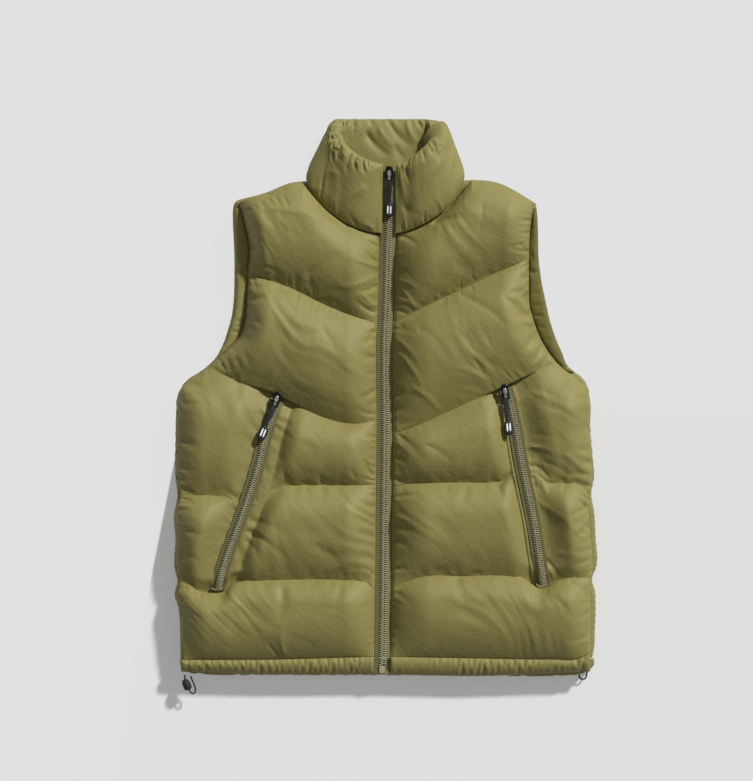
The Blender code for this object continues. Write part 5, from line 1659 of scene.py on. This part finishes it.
STITCH_LONG = 2.3
STITCH_STEP = 3.1
STITCH_RADIUS = 0.28
STITCH_FIRST = 1.0
STITCH_SIZES = ((-0.5, 0.3), (-0.4, 0.9), (0, 1.0), (0.4, 0.9), (0.5, 0.3))  # share of its length, size
STITCH_SIDES = 5
STITCH_DIP = 0.9


def stitch_shape():
    """Rings of one stitch, whose ends dip into the cloth."""
    across, up = box_turn(STITCH_SIDES)
    rings = []
    for share, size in STITCH_SIZES:
        y = np.full(STITCH_SIDES, share * STITCH_LONG)
        dip = STITCH_RADIUS * STITCH_DIP * (2 * share) ** 2
        rings.append(np.column_stack([STITCH_RADIUS * size * across, y, STITCH_RADIUS * size * up - dip]))
    return np.array(rings)


def make_stitches(name, lines):
    """Rows of lockstitch along lines on the cloth, joined."""
    places = []
    for line in lines:
        places += chain_places(line, STITCH_STEP, STITCH_FIRST)
    made = repeated(name, stitch_shape(), places, MATERIALS["thread"])
    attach(made, GARMENT)


BARTACK_ROWS, BARTACK_STEP, BARTACK_POINTS = 5, 0.55, 12
BARTACK_RISE = ZIP_TAPE_THICK + 1.2


def make_bartacks(side, surface):
    """Dense stitching across both ends of a pocket zip."""
    first, last = INNER_COLUMNS, INNER_COLUMNS + len(CHANNEL_OFFSETS) - 1
    lines = []
    for row, heading in ((POCKET_ROWS[0] + 1, 1), (POCKET_ROWS[1] - 3, -1)):
        line = np.linspace(surface[row, first], surface[row, last], BARTACK_POINTS)
        lines += [line + np.array([0, heading * n * BARTACK_STEP, BARTACK_RISE]) for n in range(BARTACK_ROWS)]
    make_stitches(f"pocket_bartacks_{side.name}", lines)


# Floor, light and camera.

CAMERA_HEIGHT = 5.0
CAMERA_X, CAMERA_Y = -0.01215, 0.0107
VIEW_LONG_SIDE = 1.0544
VIEW_LEVEL = 0.033
SENSOR = 36.0
CAMERA_CLIP = 20.0


def make_camera():
    """A camera straight above, far enough to see little perspective."""
    data = bpy.data.cameras.new("camera")
    data.sensor_width = SENSOR
    data.lens = SENSOR * (CAMERA_HEIGHT - VIEW_LEVEL) / VIEW_LONG_SIDE
    data.clip_end = CAMERA_CLIP
    camera = in_scene("camera", data)
    camera.location = (CAMERA_X, CAMERA_Y, CAMERA_HEIGHT)
    bpy.context.scene.camera = camera


# The floor's glow is painted light: it hides the garment's cast shadow beside the upper body and below the
# armholes, and lightens that shadow elsewhere.
FLOOR_TONES = ((0.02, 0.733), (0.528, 0.219))  # paint and glow, where no shadow falls and where one does
SHADOW_SIDE = (981.0, -194.0, 0.0), 266.5, 3.0  # a line beside the body: direction, offset and softness
SHADOW_TOP = (0.0, -1000.0, 0.0), 0.0, 30.0  # a line across below the armholes
FLOOR_HALF, FLOOR_Z = 6.0, -0.0004


def shaded_part(tree, place, line):
    """Share from 0 on one side of a line on the floor to 1 on its other side."""
    direction, offset, softness = line
    reached = node(tree, "ShaderNodeVectorMath", {0: place, 1: direction}, operation="DOT_PRODUCT")
    inputs = {"Value": reached.outputs["Value"], "From Min": -offset, "From Max": softness - offset}
    return node(tree, "ShaderNodeMapRange", inputs, interpolation_type="SMOOTHSTEP").outputs["Result"]


def make_floor():
    """A pale floor that glows by itself as painted light: beside the upper body it glows instead of
    reflecting, so the garment's shadow doesn't show there, and elsewhere the glow lightens the shadow.
    """
    made, tree, shader, place = start_material("studio_floor", 0.9)
    lines = {number: shaded_part(tree, place, line) for number, line in enumerate((SHADOW_SIDE, SHADOW_TOP))}
    shaded = node(tree, "ShaderNodeMath", lines, operation="MULTIPLY").outputs[0]
    (bare_paint, bare_glow), (paint, glow) = FLOOR_TONES
    tinted(tree, shader, shaded, (bare_paint,) * 3, (paint,) * 3)
    strength = node(tree, "ShaderNodeMapRange", {"Value": shaded, "To Min": bare_glow, "To Max": glow})
    plug(tree, shader, {
        "Specular IOR Level": 0.0, "Emission Color": (1.0, 1.0, 1.0, 1),
        "Emission Strength": strength.outputs["Result"],
    })
    corners = [(x * FLOOR_HALF, y * FLOOR_HALF, 0) for x, y in ((-1, -1), (1, -1), (1, 1), (-1, 1))]
    floor = new_object("studio_floor", corners, [(0, 1, 2, 3)], made)
    floor.location.z = FLOOR_Z


LIGHT_TOWARDS = Vector((0.53, 0.60, 0.555))
KEY_STRENGTH = 4.0
KEY_ANGLE = 5.0
FILL_STRENGTH = 0.265


def make_lights():
    """One sun from the upper right, and an even fill."""
    data = bpy.data.lights.new("key", "SUN")
    data.energy = KEY_STRENGTH
    data.angle = math.radians(KEY_ANGLE)
    key = in_scene("key", data)
    key.rotation_mode = "QUATERNION"
    key.rotation_quaternion = LIGHT_TOWARDS.to_track_quat("Z", "Y")
    world = bpy.data.worlds.new("studio")
    world.use_nodes = True
    tree = world.node_tree
    plug(tree, tree.nodes["Background"], {"Color": (1.0, 1.0, 1.0, 1), "Strength": FILL_STRENGTH})
    bpy.context.scene.world = world
    bpy.context.scene.view_settings.view_transform = "Standard"


make_camera()
for side in (RIGHT, LEFT):
    make_cord(side)
for side in (RIGHT, LEFT):
    surface = make_front(side)
    make_hem_band(side)
    make_armhole_facing(side)
    make_pocket_zip(side, surface)
    make_bartacks(side, surface)
make_back()
make_hem_back()
make_collar()
make_main_zip()
for hinge in HINGES:
    make_slider(hinge)
    make_pull(hinge)
finish_cad_nodes()
make_floor()
make_lights()
